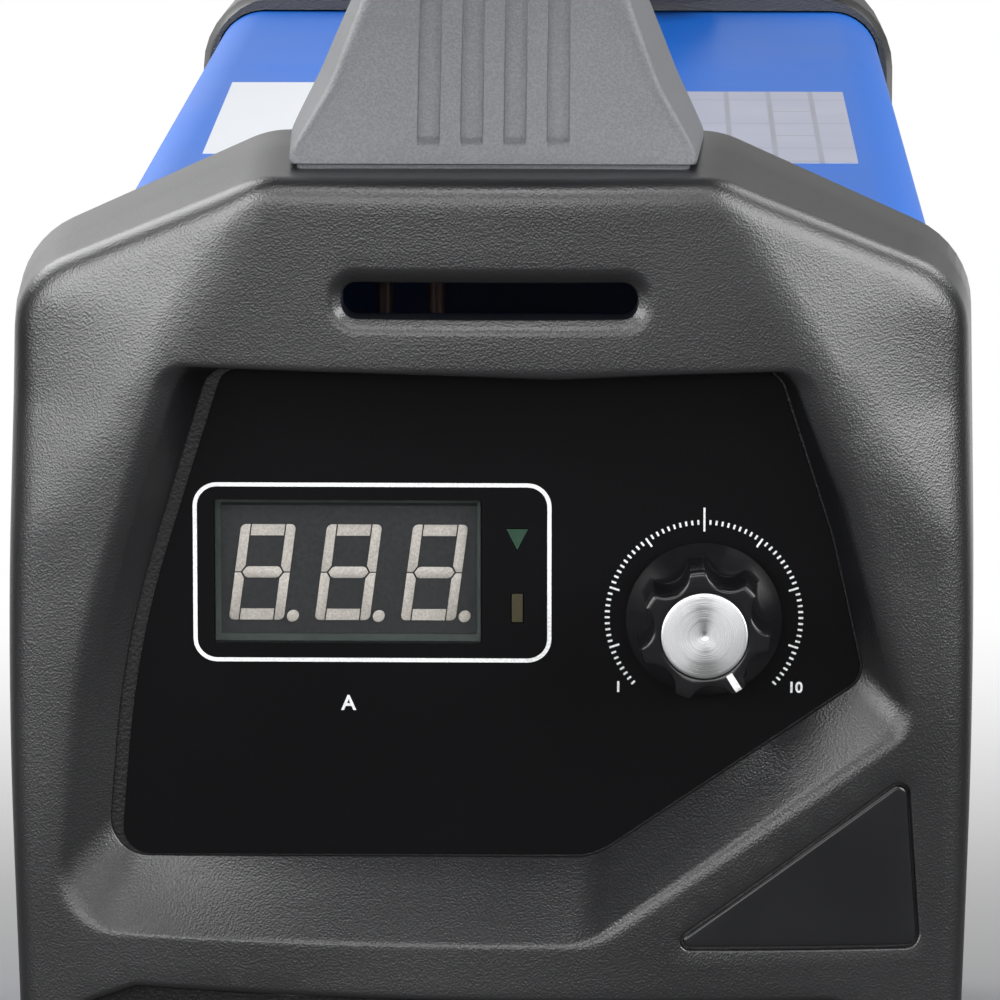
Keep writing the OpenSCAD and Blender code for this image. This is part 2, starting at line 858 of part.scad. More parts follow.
// What is cut out of the fan's round grille, between its rings and its four spokes
module grille_gaps() {
    y = rear_wall_y - rear_wall;
    difference() {
        rod_y(housing_shift, y - 1, fan_z, grille_r, rear_wall + 2);
        rod_y(housing_shift, y - 2, fan_z, 13, rear_wall + 4);
        for (i = [1:grille_rings - 1])
            difference() {
                r = 13 + i * (grille_r - 13) / grille_rings;
                rod_y(housing_shift, y - 2, fan_z, r + 0.9, rear_wall + 4);
                rod_y(housing_shift, y - 3, fan_z, r - 0.9, rear_wall + 6);
            }
        for (a = [45:90:315])
            translate([housing_shift, y - 1.5, fan_z])
                rotate([0, a, 0])
                    translate([5, 0, -1.5])
                        cube([grille_r, rear_wall + 3, 3]);
    }
}

module rear_bezel() color(bezel_plastic) placed()
    difference() {
        union() {
            rear_shell();
            tray_bosses(rear_y, 15, rear_y + 8, housing_shift - rear_half + 2, housing_shift + rear_half - 2);
        }
        grille_gaps();
        for (x = [-1, 1])
            for (z = [-1, 1])
                rod_y(housing_shift + x * fan_hole / 2, rear_wall_y - 8, fan_z + z * fan_hole / 2, 2.2, 12);
        plate(rear_wall_y - 8, 12)
            translate([switch_x, fittings_z])
                square(switch_hole + [0.3, 0.3], center = true);
        rod_y(gland_x, rear_wall_y - 8, fittings_z, 9.1, 12);
        rod_y(earth_x, rear_wall_y - 8, earth_z, 3.2, 12);
        for (s = [-1, 1])
            rod_y(s * bezel_screw_x + housing_shift, rear_y - 2, bezel_screw_z, 1.6, 12);
        for (x = handle_screw_x)
            translate([x, rear_screw_y, rear_top - 12])
                cylinder(r = 2.2, h = 20);
    }

fan_y = rear_wall_y - rear_wall - fan_t;
fan_bore_r = 43.5;
hub_r = 18;

module fan_frame() color(black_plastic) placed()
    difference() {
        union() {
            difference() {
                plate(fan_y, fan_t)
                    translate([housing_shift, fan_z])
                        rounded_rect(fan_size, fan_size, 4);
                rod_y(housing_shift, fan_y - 1, fan_z, fan_bore_r, fan_t + 2);
                for (x = [-1, 1])
                    for (z = [-1, 1])
                        rod_y(housing_shift + x * fan_hole / 2, fan_y - 1, fan_z + z * fan_hole / 2, 2.15, 30);
            }
            for (a = [20:90:290])
                translate([housing_shift, fan_y, fan_z])
                    rotate([0, a, 0])
                        translate([hub_r - 2, 0.1, -2])
                            cube([fan_bore_r - hub_r + 3, 2.8, 4]);
            rod_y(housing_shift, fan_y, fan_z, hub_r, 3);
            rod_y(housing_shift, fan_y, fan_z, 4, 14);
        }
        rod_y(housing_shift, fan_y + 1, fan_z, 1.55, 16);
    }

blades = 7;
blade_tip_r = 42;

// One blade: a slanted plate from the hub to the tip circle
module blade(a) {
    translate([housing_shift, fan_y + 14, fan_z])
        rotate([0, a, 0])
            translate([hub_r - 1, 0, 0])
                rotate([38, 0, 0])
                    translate([0, -0.8, -9])
                        cube([blade_tip_r - hub_r, 1.6, 18]);
}

module fan_rotor() color([0.12, 0.12, 0.13]) placed() {
    difference() {
        rod_y(housing_shift, fan_y + 3.5, fan_z, hub_r, 20);
        rod_y(housing_shift, fan_y + 2, fan_z, hub_r - 1.5, 19.5);
    }
    rod_y(housing_shift, fan_y + 3, fan_z, 1.5, 20);
    for (i = [0:blades - 1])
        blade(i * 360 / blades);
}

module fan_screws() color(steel) placed()
    for (x = [-1, 1])
        for (z = [-1, 1]) {
            px = housing_shift + x * fan_hole / 2;
            pz = fan_z + z * fan_hole / 2;
            rod_y(px, rear_wall_y, pz, 3.6, 2);
            rod_y(px, fan_y - 5, pz, 2, fan_t + rear_wall + 5.5);
            difference() {
                hex_y(px, fan_y - 3.2, pz, 7, 3.1);
                rod_y(px, fan_y - 4, pz, 1.95, 5);
            }
        }

rocker_w = 14;
rocker_r = 14;
rocker_tilt = 12;
pivot_y = rear_wall_y - 3;

module switch_body() color(black_plastic) placed()
    difference() {
        union() {
            plate(rear_wall_y, 2)
                translate([switch_x, fittings_z])
                    rounded_rect(25.4, 31, 1.5);
            plate(rear_wall_y - 24, 24.5)
                translate([switch_x, fittings_z])
                    square(switch_hole, center = true);
            for (x = [-5, 5])
                for (z = [-8, 8])
                    translate([switch_x + x - 0.4, rear_wall_y - 33, fittings_z + z - 3])
                        cube([0.8, 9.5, 6]);
        }
        plate(rear_wall_y - 12, 20)
            translate([switch_x, fittings_z])
                square([rocker_w + 1, 24.4], center = true);
        translate([switch_x - 9.4, pivot_y, fittings_z])
            rotate([0, 90, 0])
                cylinder(r = 1.55, h = 18.8);
    }

// Rocker with two flat wings that meet at the pivot, stored with its upper end pressed in
module switch_rocker() color([0.10, 0.10, 0.11]) placed()
    translate([switch_x, pivot_y, fittings_z])
        rotate([rocker_tilt, 0, 0]) {
            translate([-rocker_w / 2, 0, 0])
                rotate([90, 0, 90])
                    linear_extrude(rocker_w)
                        polygon([[6.6, -11], [4.6, 0], [6.6, 11], [0.5, 11.2], [-4, 4], [-4, -4], [0.5, -11.2]]);
            translate([-9.2, 0, 0])
                rotate([0, 90, 0])
                    cylinder(r = 1.5, h = 18.4);
        }

module cable_gland() color(black_plastic) placed()
    difference() {
        union() {
            hex_y(gland_x, rear_wall_y, fittings_z, 24, 5);
            rod_y(gland_x, rear_wall_y + 4, fittings_z, 11, 8);
            rod_y(gland_x, rear_wall_y + 11, fittings_z, 9, gland_l - 11);
            rod_y(gland_x, rear_wall_y - 11, fittings_z, 9, 12);
        }
        rod_y(gland_x, rear_wall_y - 12, fittings_z, gland_bore_d / 2, gland_l + 14);
    }

module gland_nut() color(black_plastic) placed()
    difference() {
        hex_y(gland_x, rear_wall_y - rear_wall - 5, fittings_z, 24, 5);
        rod_y(gland_x, rear_wall_y - rear_wall - 6, fittings_z, 9.05, 7);
    }

earth_l = 13.5;
earth_free = 6.5;

// Stud with its head inside and its free end, for a ring terminal, beyond the nuts
module earth_stud() color(brass) placed() {
    rod_y(earth_x, rear_wall_y - 8, earth_z, earth_d / 2 - 0.5, earth_free + 9);
    rod_y(earth_x, rear_wall_y + earth_free, earth_z, earth_d / 2, earth_l - earth_free);
    hex_y(earth_x, rear_wall_y - 12, earth_z, 10, 4);
}

module earth_nuts() color(steel) placed()
    for (w = [[rear_wall_y - rear_wall - 5, 5, 10, 6], [rear_wall_y, 1.2, 12, 64], [rear_wall_y + 1.3, 5, 10, 6]])
        difference() {
            translate([earth_x, w[0], earth_z])
                rotate([-90, 0, 0])
                    cylinder(r = w[2] / 2 / cos(180 / w[3]), h = w[1], $fn = w[3]);
            rod_y(earth_x, w[0] - 1, earth_z, earth_d / 2 + 0.05, w[1] + 2);
        }

// ---------- handle ----------

handle_screw_x = [-14, 14];
front_screw_y = 24;
rear_screw_y = rear_y + 11.5;
grip_low = handle_top - grip_t;
rear_foot_w = 70;
insert_l = rear_y - 152.4;

// Side view of the handle, [depth, height, radius], clockwise from the front foot's toe
handle_side = rounded([
    [7, bezel_top - 3, 0.6], [28, 236, 16], [52, handle_top, 26], [rear_y - 41, handle_top, 34],
    [rear_y + 26, rear_top - 3, 3], [rear_y - 10, rear_top - 3, 3],
    [rear_y - 48, grip_low, 20], [76, grip_low, 20], [43, bezel_top - 3, 1]], 8);
// Front view, widths at the foot, above it and at the grip
handle_front = [
    [-foot_w / 2, bezel_top - 5], [-foot_w / 2, bezel_top - 2], [-21.5, 231], [-grip_w / 2, 243],
    [-grip_w / 2 + 4, handle_top + 1], [grip_w / 2 - 4, handle_top + 1], [grip_w / 2, 243], [21.5, 231],
    [foot_w / 2, bezel_top - 2], [foot_w / 2, bezel_top - 5]];
rear_view = [
    [-rear_foot_w / 2, rear_top - 5], [-rear_foot_w / 2 + 1, rear_top + 1], [-21.5, 231], [-grip_w / 2, 243],
    [-grip_w / 2 + 4, handle_top + 1], [grip_w / 2 - 4, handle_top + 1], [grip_w / 2, 243], [21.5, 231],
    [rear_foot_w / 2 - 1, rear_top + 1], [rear_foot_w / 2, rear_top - 5]];

// Slice of the handle, its side view cut to the given front view between two depths
module handle_part(view, y, l) {
    intersection() {
        plate(y, l)
            polygon(view);
        rotate([90, 0, 90])
            translate([0, 0, -50])
                linear_extrude(100)
                    polygon(handle_side);
    }
}

groove_w = 3.25;
groove_pitch = 6.25;

module handle() color(bezel_plastic) placed()
    difference() {
        union() {
            handle_part(handle_front, 0, 151);
            handle_part(rear_view, 150, rear_wall_y - 150);
        }
        // Bottom of the front foot, set down on the bezel's sloping top
        translate([-50, 0, bezel_top - 1.3])
            rotate([atan(draft / bezel_depth), 0, 0])
                translate([0, -20, -30])
                    cube([100, 90, 30.15]);
        translate([-50, rear_y - 26, rear_top - 30])
            cube([100, 80, 30.1]);
        // Channel under the grip, closed by the insert
        translate([-grip_w / 2 + 3, 92, grip_low - 1])
            cube([grip_w - 6, insert_l + 0.4, grip_t - 3]);
        // Four grooves down the front of the foot
        for (i = [-1.5:1:1.5])
            translate([i * groove_pitch - groove_w / 2, 10.1, bezel_top + 3])
                rotate([-atan(21 / 26.7), 0, 0])
                    translate([0, -3, 0])
                        cube([groove_w, 3.6, 28]);
        for (x = handle_screw_x)
            for (p = [[front_screw_y, bezel_top - 6, 16], [rear_screw_y, rear_top - 4, 12]])
                translate([x, p[0], p[1]])
                    cylinder(r = 2.05, h = p[2]);
    }

module handle_insert() color([0.14, 0.14, 0.15]) placed()
    translate([-grip_w / 2 + 3.2, 92.2, grip_low])
        difference() {
            cube([grip_w - 6.4, insert_l, 8]);
            translate([3, 3, 3])
                cube([grip_w - 12.4, insert_l - 6, 8]);
        }

module handle_screws() color(steel) placed()
    for (x = handle_screw_x)
        for (p = [[front_screw_y, bezel_top - draft - wall - 0.4, 13], [rear_screw_y, rear_top - wall - 0.5, 10]])
            translate([x, p[0], p[1]]) {
                cylinder(r = 2, h = p[2]);
                translate([0, 0, -2.4])
                    cylinder(r = 3.8, h = 2.4);
            }

// ---------- electronics inside ----------

board_z = 32;
board_t = 1.6;
board_top = board_z + board_t;
board_x = [-44, 52];
board_yy = [96, rear_y - 29];
sink_y = 150;
sink_l = 130;
sink_h = 60;

module main_board() color(board_green) placed()
    difference() {
        translate([board_x[0], board_yy[0], board_z])
            cube([board_x[1] - board_x[0], board_yy[1] - board_yy[0], board_t]);
        for (p = standoff_at)
            translate([p[0], p[1], board_z - 1])
                cylinder(r = 1.7, h = 4);
    }

standoff_at = [for (x = [board_x[0] + 4, board_x[1] - 4]) for (y = [board_yy[0] + 5, 141, board_yy[1] - 5]) [x, y]];

module board_standoffs() color(brass) placed()
    for (p = standoff_at) {
        translate([p[0], p[1], foot_h + tray_t])
            cylinder(r = 3.2, h = board_z - foot_h - tray_t, $fn = 6);
        translate([p[0], p[1], board_z - 1])
            cylinder(r = 1.5, h = 3.5);
        translate([p[0], p[1], board_top])
            cylinder(r = 2.8, h = 1.8);
    }

// Finned aluminium extrusion with its base plate at x = 0 and its fins on the -X side
module heatsink() {
    translate([-4, 0, 0])
        cube([4, sink_l, sink_h]);
    for (i = [0:9])
        translate([-19, 0, i * (sink_h - 1.6) / 9])
            cube([16, sink_l, 1.6]);
}

left_sink_x = -26;
right_sink_x = 34;

module heatsink_left() color(aluminium) placed()
    translate([left_sink_x, sink_y, board_top + 0.1])
        heatsink();

module heatsink_right() color(aluminium) placed()
    translate([right_sink_x, sink_y, board_top + 0.1])
        mirror([1, 0, 0])
            heatsink();

// Power transistors on the inner faces of both heatsinks, with three legs each
module power_transistors() color([0.08, 0.08, 0.09]) placed()
    for (i = [0:3])
        for (x = [left_sink_x + 0.1, right_sink_x - 5.1])
            translate([x, sink_y + 6 + i * 30, 0]) {
                translate([0, 0, 46])
                    cube([5, 16, 21]);
                for (k = [0:2])
                    translate([2, 2 + k * 5.4, board_top])
                        cube([0.7, 1.2, 13]);
            }

core_x = 4;
core_y = 101;
core_w = 56;
core_t = 21;
core_low = board_top + 0.1;
leg_w = 17;

module transformer_core() color([0.20, 0.20, 0.21]) placed()
    translate([core_x, core_y, core_low])
        difference() {
            translate([-core_w / 2, 0, 0])
                cube([core_w, core_t, core_w]);
            for (s = [-1, 1])
                translate([s * (leg_w / 2 + 5.2) - 5.2, -1, 9.5])
                    cube([10.4, core_t + 2, core_w - 19]);
        }

module transformer_winding() color(copper) placed()
    translate([core_x, core_y + core_t / 2, core_low + 10])
        linear_extrude(core_w - 20)
            difference() {
                rounded_rect(leg_w + 19, core_t + 8, 5);
                square([leg_w + 0.4, core_t + 0.4], center = true);
            }

choke_y = 62;
choke_z = 60;

module choke_core() color([0.45, 0.45, 0.20]) placed()
    translate([core_x, choke_y, choke_z])
        rotate([-90, 0, 0])
            difference() {
                cylinder(r = 21, h = 20);
                translate([0, 0, -1])
                    cylinder(r = 12, h = 22);
            }

// Heavy winding on the upper three quarters of the choke's ring
module choke_winding() color(copper) placed()
    translate([core_x, choke_y + 10, choke_z])
        rotate([-90, 0, 0])
            rotate([0, 0, 130])
                rotate_extrude(angle = 280)
                    difference() {
                        translate([8, -13.8])
                            square([17, 27.6]);
                        translate([11.8, -10.2])
                            square([9.4, 20.4]);
                    }

module capacitors() color([0.10, 0.12, 0.25]) placed()
    for (x = [-8.3, 16.3])
        for (y = [sink_y + 20, sink_y + 48])
            translate([x, y, board_top + 0.1])
                cylinder(r = 11.8, h = 45);

module bridge_rectifier() color([0.12, 0.12, 0.12]) placed()
    difference() {
        translate([-10, sink_y + 68, board_top + 0.1])
            cube([28, 28, 10]);
        translate([4, sink_y + 82, board_top])
            cylinder(r = 2.6, h = 12);
    }

module relay() color([0.15, 0.25, 0.55]) placed()
    translate([-12, sink_y + 106, board_top + 0.1])
        cube([30, 14, 24]);

module busbars() color(copper) placed()
    for (side = [-1, 1])
        difference() {
            union() {
                translate([side * socket_x - 10, bar_y, socket_z - 8])
                    cube([20, bar_t, 16]);
                translate([side * (socket_x + 10) - 1, bar_y, socket_z - 8])
                    cube([2, sink_y - bar_y, 16]);
            }
            rod_y(side * socket_x, bar_y - 1, socket_z, stud_r + 0.1, 5);
        }

// Round wire through a list of points
module wire(path, r) {
    for (i = [0:len(path) - 2]) {
        d = path[i + 1] - path[i];
        translate(path[i])
            rotate([0, acos(d[2] / norm(d)), atan2(d[1], d[0])])
                cylinder(r = r, h = norm(d), $fn = 32);
    }
    for (i = [1:1:len(path) - 2])
        translate(path[i])
            sphere(r = r + 0.15, $fn = 32);
}

// Flat cable from the control board down to the front edge of the main board
module ribbon_cable() color([0.60, 0.60, 0.62]) placed()
    translate([-35, 0, 0])
        rotate([90, 0, 90])
            linear_extrude(10)
                polygon([[board_y + 1.7, 128], [board_y + 8, 126], [56, 100], [58, 60], [98, board_top + 2],
                    [103, board_top + 2], [103, board_top + 0.1], [97.4, board_top + 0.1], [57, 58.8],
                    [55, 99.4], [board_y + 7.6, 125], [board_y + 1.7, 126.8]]);

// Two wires from the switch's tags to the back edge of the main board
module mains_wires() color([0.35, 0.20, 0.10]) placed()
    for (x = [-5, 5]) {
        tag = rear_wall_y - 34.6;
        wire([[switch_x + x, tag, fittings_z - 8], [switch_x + x, tag - 8, fittings_z - 14],
            [switch_x + x, board_yy[1] - 6, 70], [switch_x + x, board_yy[1] - 6, board_top + 1.7]], 1.6);
    }

front_bezel();
rear_bezel();
top_cover();
base_tray();
handle();
handle_insert();
handle_screws();
control_panel();
panel_overlay();
panel_screws();
display_window();
display_module();
digit_segments();
indicator_lights();
control_board();
potentiometer();
pot_shaft();
pot_nut();
knob();
knob_cap();
badge_plate();
socket_panel();
socket_panel_screws();
socket_plus();
socket_minus();
contact_plus();
contact_minus();
socket_nuts();
polarity_marks();
feet();
foot_screws();
cover_screws();
bezel_screws();
fan_frame();
fan_rotor();
fan_screws();
switch_body();
switch_rocker();
cable_gland();
gland_nut();
earth_stud();
earth_nuts();
main_board();
board_standoffs();
heatsink_left();
heatsink_right();
power_transistors();
transformer_core();
transformer_winding();
choke_core();
choke_winding();
capacitors();
bridge_rectifier();
relay();
busbars();
ribbon_cable();
mains_wires();
cover_labels();
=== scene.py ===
# Portable inverter arc welder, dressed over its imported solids.
import math

import bmesh
import bpy
import numpy as np
from mathutils import Matrix, Vector
from mathutils.geometry import delaunay_2d_cdt


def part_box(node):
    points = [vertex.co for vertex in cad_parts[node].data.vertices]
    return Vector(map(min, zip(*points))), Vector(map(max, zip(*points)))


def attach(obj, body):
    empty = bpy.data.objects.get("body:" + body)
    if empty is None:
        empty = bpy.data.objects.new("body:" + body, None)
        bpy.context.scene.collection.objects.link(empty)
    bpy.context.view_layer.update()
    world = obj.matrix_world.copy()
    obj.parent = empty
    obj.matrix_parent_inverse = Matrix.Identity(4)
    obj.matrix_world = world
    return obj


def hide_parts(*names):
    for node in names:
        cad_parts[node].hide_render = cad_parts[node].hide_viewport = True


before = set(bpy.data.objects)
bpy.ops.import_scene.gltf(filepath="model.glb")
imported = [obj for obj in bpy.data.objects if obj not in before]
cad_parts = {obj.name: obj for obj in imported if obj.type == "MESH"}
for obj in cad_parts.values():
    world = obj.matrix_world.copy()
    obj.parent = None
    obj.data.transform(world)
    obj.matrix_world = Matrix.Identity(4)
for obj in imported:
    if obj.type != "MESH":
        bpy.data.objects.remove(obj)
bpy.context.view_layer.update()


# ---------------------------------------------------------------------------
# Camera
# It stands about a metre in front of the machine, a little above it, with a long lens.
# Every depth is counted from the bezel's foremost line, which is this far in front of its back edge.
bezel_back = 44.0
depth_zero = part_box("front_bezel")[1].y * 1000 - bezel_back
focal_px, picture_px, sensor = 7134.0, 1000.0, 36.0
tilt = math.radians(9.743)
swing = math.radians(1.266)


def at(x, y, z):
    return Vector((x / 1000, (y + depth_zero) / 1000, z / 1000))


def placed(name, data):
    """A new object in the scene."""
    o = bpy.data.objects.new(name, data)
    bpy.context.scene.collection.objects.link(o)
    return o


forward = Vector((-math.sin(swing) * math.cos(tilt), math.cos(swing) * math.cos(tilt), -math.sin(tilt)))
sideways = forward.cross(Vector((0, 0, 1))).normalized()
upward = sideways.cross(forward)
camera = placed("camera", bpy.data.cameras.new("camera"))
camera.data.sensor_fit = "HORIZONTAL"
camera.data.sensor_width = sensor
camera.data.lens = focal_px * sensor / picture_px
camera.data.clip_start = 0.05
camera.data.clip_end = 20.0
facing = Matrix((sideways, upward, -forward)).transposed().to_4x4()
camera.matrix_world = Matrix.Translation(at(24.14, -1012.86, 336.78)) @ facing
bpy.context.scene.camera = camera


# ---------------------------------------------------------------------------
# Front bezel
# The charcoal frame round the front, one injection moulding with a fine spark-eroded grain.
# Its face is bowed, with two facets that fall back at the top corners.

def outline(corners, runs=None, steps=8, gap=1.5):
    """Closed outline through (x, z, radius) corners, and how many points each straight run has."""
    k = len(corners)
    arcs = []
    for i in range(k):
        p, c, q = (np.array(corners[(i + s) % k][:2], float) for s in (-1, 0, 1))
        r = corners[i][2]
        u, w = (p - c) / np.linalg.norm(p - c), (q - c) / np.linalg.norm(q - c)
        half = math.acos(float(u @ w)) / 2
        m = c + (u + w) / np.linalg.norm(u + w) * r / math.sin(half)
        s = c + u * r / math.tan(half) - m
        turn = np.sign(np.cross(c - p, q - c)) * (math.pi - 2 * half)
        a = math.atan2(s[1], s[0]) + turn * np.arange(steps + 1) / steps
        arcs.append(m + r * np.stack([np.cos(a), np.sin(a)], 1))
    points, counts = [], []
    for i in range(k):
        start, end = arcs[i][-1], arcs[(i + 1) % k][0]
        n = runs[i] if runs else max(0, int(np.linalg.norm(end - start) / gap))
        points.append(arcs[i])
        points.append(start + (end - start) * (np.arange(1, n + 1) / (n + 1))[:, None])
        counts.append(n)
    return np.concatenate(points), counts


def inward(o):
    t = np.roll(o, -1, 0) - np.roll(o, 1, 0)
    t /= np.linalg.norm(t, axis=1)[:, None]
    return np.stack([t[:, 1], -t[:, 0]], 1)


def within(points, loop):
    x, z = points[:, 0][:, None], points[:, 1][:, None]
    a, b = loop, np.roll(loop, -1, 0)
    crosses = (a[:, 1] > z) != (b[:, 1] > z)
    run = a[:, 0] + (z - a[:, 1]) * (b[:, 0] - a[:, 0]) / np.where(b[:, 1] == a[:, 1], 1e-9, b[:, 1] - a[:, 1])
    return (crosses & (x < run)).sum(1) % 2 == 1


def soft_above(d, width):
    return 0.5 * (d + np.sqrt(d * d + width * width)) - width * width / (4 * np.sqrt(d * d + width * width))


def bow_depth(x):
    return x * x / 480.0


def facet_depth(x, z):
    return 2.269 + 0.495 * (x - 33.0) + 0.187 * (z - 209.0)


def face_depth(p):
    """Depth of the bezel's face: the bow, the corner facets, and a slight fall beside the recess."""
    x, z = np.abs(p[:, 0]), p[:, 1]
    bow, facet = bow_depth(x), facet_depth(x, z)
    edge = np.interp(z, [90, 110, 130, 150, 170, 184], [72, 66, 61, 56.5, 52, 48])
    fall = np.interp(z, [88, 112, 150, 175, 190], [0, 0.05, 0.13, 0.10, 0.0])
    return bow + soft_above(facet - bow, 0.9) + fall * soft_above(x - edge, 1.0)


def raised(o, depth):
    return np.stack([o[:, 0], depth if np.ndim(depth) else np.full(len(o), float(depth)), o[:, 1]], 1)


def ring(bm, pts):
    return [bm.verts.new(at(*p)) for p in pts]


def band(bm, a, b):
    for i in range(len(a)):
        j = (i + 1) % len(a)
        bm.faces.new((a[i], a[j], b[j], b[i]))


def bands(bm, loops):
    for a, b in zip(loops, loops[1:]):
        band(bm, a, b)


def bend(a, c, b, steps):
    """Rings along the curve from a to b that rounds off the corner c."""
    out = []
    for k in range(1, steps + 1):
        t = k / steps
        out.append((1 - t) ** 2 * a + 2 * t * (1 - t) * c + t * t * b)
    return out


def skin(bm, outer, holes, depth, grid, lines=(), clear=0.9):
    """Fills the region between the vertex loop outer and the loops holes. Loops are (flat points, vertices)."""
    flat = [outer[0]] + [h[0] for h in holes]
    verts = [v for h in [outer] + list(holes) for v in h[1]]
    bounds = np.concatenate(flat)
    edges, start = [], 0
    for f in flat:
        edges += [(start + i, start + (i + 1) % len(f)) for i in range(len(f))]
        start += len(f)
    lo, hi = outer[0].min(0), outer[0].max(0)
    gx, gz = np.meshgrid(np.arange(lo[0], hi[0], grid), np.arange(lo[1], hi[1], grid * 0.87))
    gx = gx + (np.arange(gx.shape[0]) % 2)[:, None] * grid / 2
    fill = np.stack([gx.ravel(), gz.ravel()], 1)

    def free(q, far):
        keep = within(q, outer[0])
        for h in holes:
            keep &= ~within(q, h[0])
        near = np.array([np.min(np.sum((bounds - p) ** 2, 1)) for p in q]) > far * far
        return keep & near

    fill = fill[free(fill, clear)]
    for line in lines:
        ok = free(line, 0.7)
        fill = fill[np.array([np.min(np.sum((line - p) ** 2, 1)) for p in fill]) > 1.0]
        fill = np.concatenate([fill, line[ok]])
    points = np.concatenate([bounds, fill])
    co, _, faces, origin, _, _ = delaunay_2d_cdt([Vector(p) for p in points], edges, [], 0, 1e-5)
    lift = depth(points)
    made = {}
    for i, src in enumerate(origin):
        if src:
            s = src[0]
            made[i] = verts[s] if s < len(verts) else bm.verts.new(at(points[s][0], lift[s], points[s][1]))
        else:
            made[i] = bm.verts.new(at(co[i][0], float(depth(np.array([co[i]]))[0]), co[i][1]))
    mid = np.array([np.mean([co[i] for i in f], 0) for f in faces])
    keep = within(mid, outer[0])
    for h in holes:
        keep &= ~within(mid, h[0])
    for f, k in zip(faces, keep):
        if k:
            bm.faces.new([made[i] for i in f])


def mesh_from(name, bm):
    mesh = bpy.data.meshes.new(name)
    bm.to_mesh(mesh)
    bm.free()
    return mesh


def new_piece(name, bm, material, sharp=34.0, front=None):
    """Turns a bmesh into an object of one material, with smooth faces and sharp edges over the given angle."""
    bmesh.ops.remove_doubles(bm, verts=bm.verts, dist=1e-7)
    bmesh.ops.recalc_face_normals(bm, faces=bm.faces)
    if front is not None:
        bm.faces.ensure_lookup_table()
        towards = max(bm.faces, key=lambda f: f.calc_center_median().dot(Vector(front)))
        if towards.normal.dot(Vector(front)) < 0:
            bmesh.ops.reverse_faces(bm, faces=bm.faces)
    mesh = mesh_from(name, bm)
    mesh.polygons.foreach_set("use_smooth", [True] * len(mesh.polygons))
    mesh.set_sharp_from_angle(angle=math.radians(sharp))
    mesh.materials.append(material)
    return placed(name, mesh)


def nodes_of(tree):
    """A short way to add a node with its inputs set or linked. A node given as input stands for its first output."""
    def add(kind, inputs=None, **settings):
        n = tree.nodes.new(kind)
        for k, v in settings.items():
            setattr(n, k, v)
        for k, v in (inputs or {}).items():
            if isinstance(v, bpy.types.Node):
                v = next(o for o in v.outputs if o.enabled)
            if isinstance(v, bpy.types.NodeSocket):
                tree.links.new(v, n.inputs[k])
            else:
                n.inputs[k].default_value = v
        return n
    return add


def blank(name):
    """A new material without nodes, and the way to add them."""
    m = bpy.data.materials.new(name)
    m.use_nodes = True
    m.node_tree.nodes.clear()
    return m, nodes_of(m.node_tree)


def spread(add, value, span=(0.0, 1.0), to=(0.0, 1.0), **settings):
    """Carries a value over from one range to another."""
    return add("ShaderNodeMapRange", {"Value": value, "From Min": span[0], "From Max": span[1],
                                      "To Min": to[0], "To Max": to[1]}, **settings)


def empty_group(name, inputs):
    """A group of nodes with the given inputs, which puts out a colour, a roughness and a height."""
    g = bpy.data.node_groups.new(name, "ShaderNodeTree")
    kinds = {1: "NodeSocketFloat", 3: "NodeSocketVector", 4: "NodeSocketColor"}
    for socket, value in inputs:
        made = g.interface.new_socket(name=socket, in_out="INPUT", socket_type=kinds[np.size(value)])
        made.default_value = value
    for socket, kind in (("Colour", "NodeSocketColor"), ("Roughness", "NodeSocketFloat"),
                         ("Height", "NodeSocketFloat")):
        g.interface.new_socket(name=socket, in_out="OUTPUT", socket_type=kind)
    add = nodes_of(g)
    return g, add, add("NodeGroupInput").outputs, add("ShaderNodeTexCoord").outputs["Object"]


def surface(add, inputs):
    add("ShaderNodeOutputMaterial", {"Surface": add("ShaderNodeBsdfPrincipled", inputs)})


def blend(add, share, first, second):
    return add("ShaderNodeMix", {0: share, 6: first, 7: second}, data_type="RGBA")


def grain_group():
    """Spark-eroded grain of a mould: colour, roughness and height over the surface."""
    g, add, given, where = empty_group("spark_grain", (
        ("Colour", (0.1, 0.1, 0.1, 1)), ("Dust", (0.3, 0.3, 0.3, 1)), ("Dust Amount", 0.15), ("Grain", 2400.0),
        ("Rough", 0.5)))
    pits = add("ShaderNodeTexVoronoi", {"Vector": where, "Scale": given["Grain"]}, feature="F1")
    fine = add("ShaderNodeTexNoise", {"Vector": where, "Scale": given["Grain"], "Detail": 3.0, "Roughness": 0.6})
    height = add("ShaderNodeMath", {0: pits, 1: fine}, operation="ADD")
    cloud = add("ShaderNodeTexNoise", {"Vector": where, "Scale": 22.0, "Detail": 4.0})
    flow = spread(add, cloud, (0.3, 0.7), (0.88, 1.12))
    fleck = spread(add, height, (0.7, 1.3), (0.86, 1.16))
    shade = add("ShaderNodeMath", {0: flow, 1: fleck}, operation="MULTIPLY")
    tint = add("ShaderNodeMix", {0: 1.0, 6: given["Colour"], 7: shade}, data_type="RGBA", blend_type="MULTIPLY")
    specks = add("ShaderNodeTexNoise", {"Vector": where, "Scale": 520.0, "Detail": 5.0, "Roughness": 0.7})
    dusty = spread(add, specks, (0.66, 0.74))
    amount = add("ShaderNodeMath", {0: dusty, 1: given["Dust Amount"]}, operation="MULTIPLY")
    final = blend(add, amount, tint, given["Dust"])
    worn = spread(add, cloud, (0.3, 0.7), (-0.05, 0.05))
    rough = add("ShaderNodeMath", {0: worn, 1: given["Rough"]}, operation="ADD")
    add("NodeGroupOutput", {"Colour": final, "Roughness": rough, "Height": height})
    return g


spark_grain = grain_group()


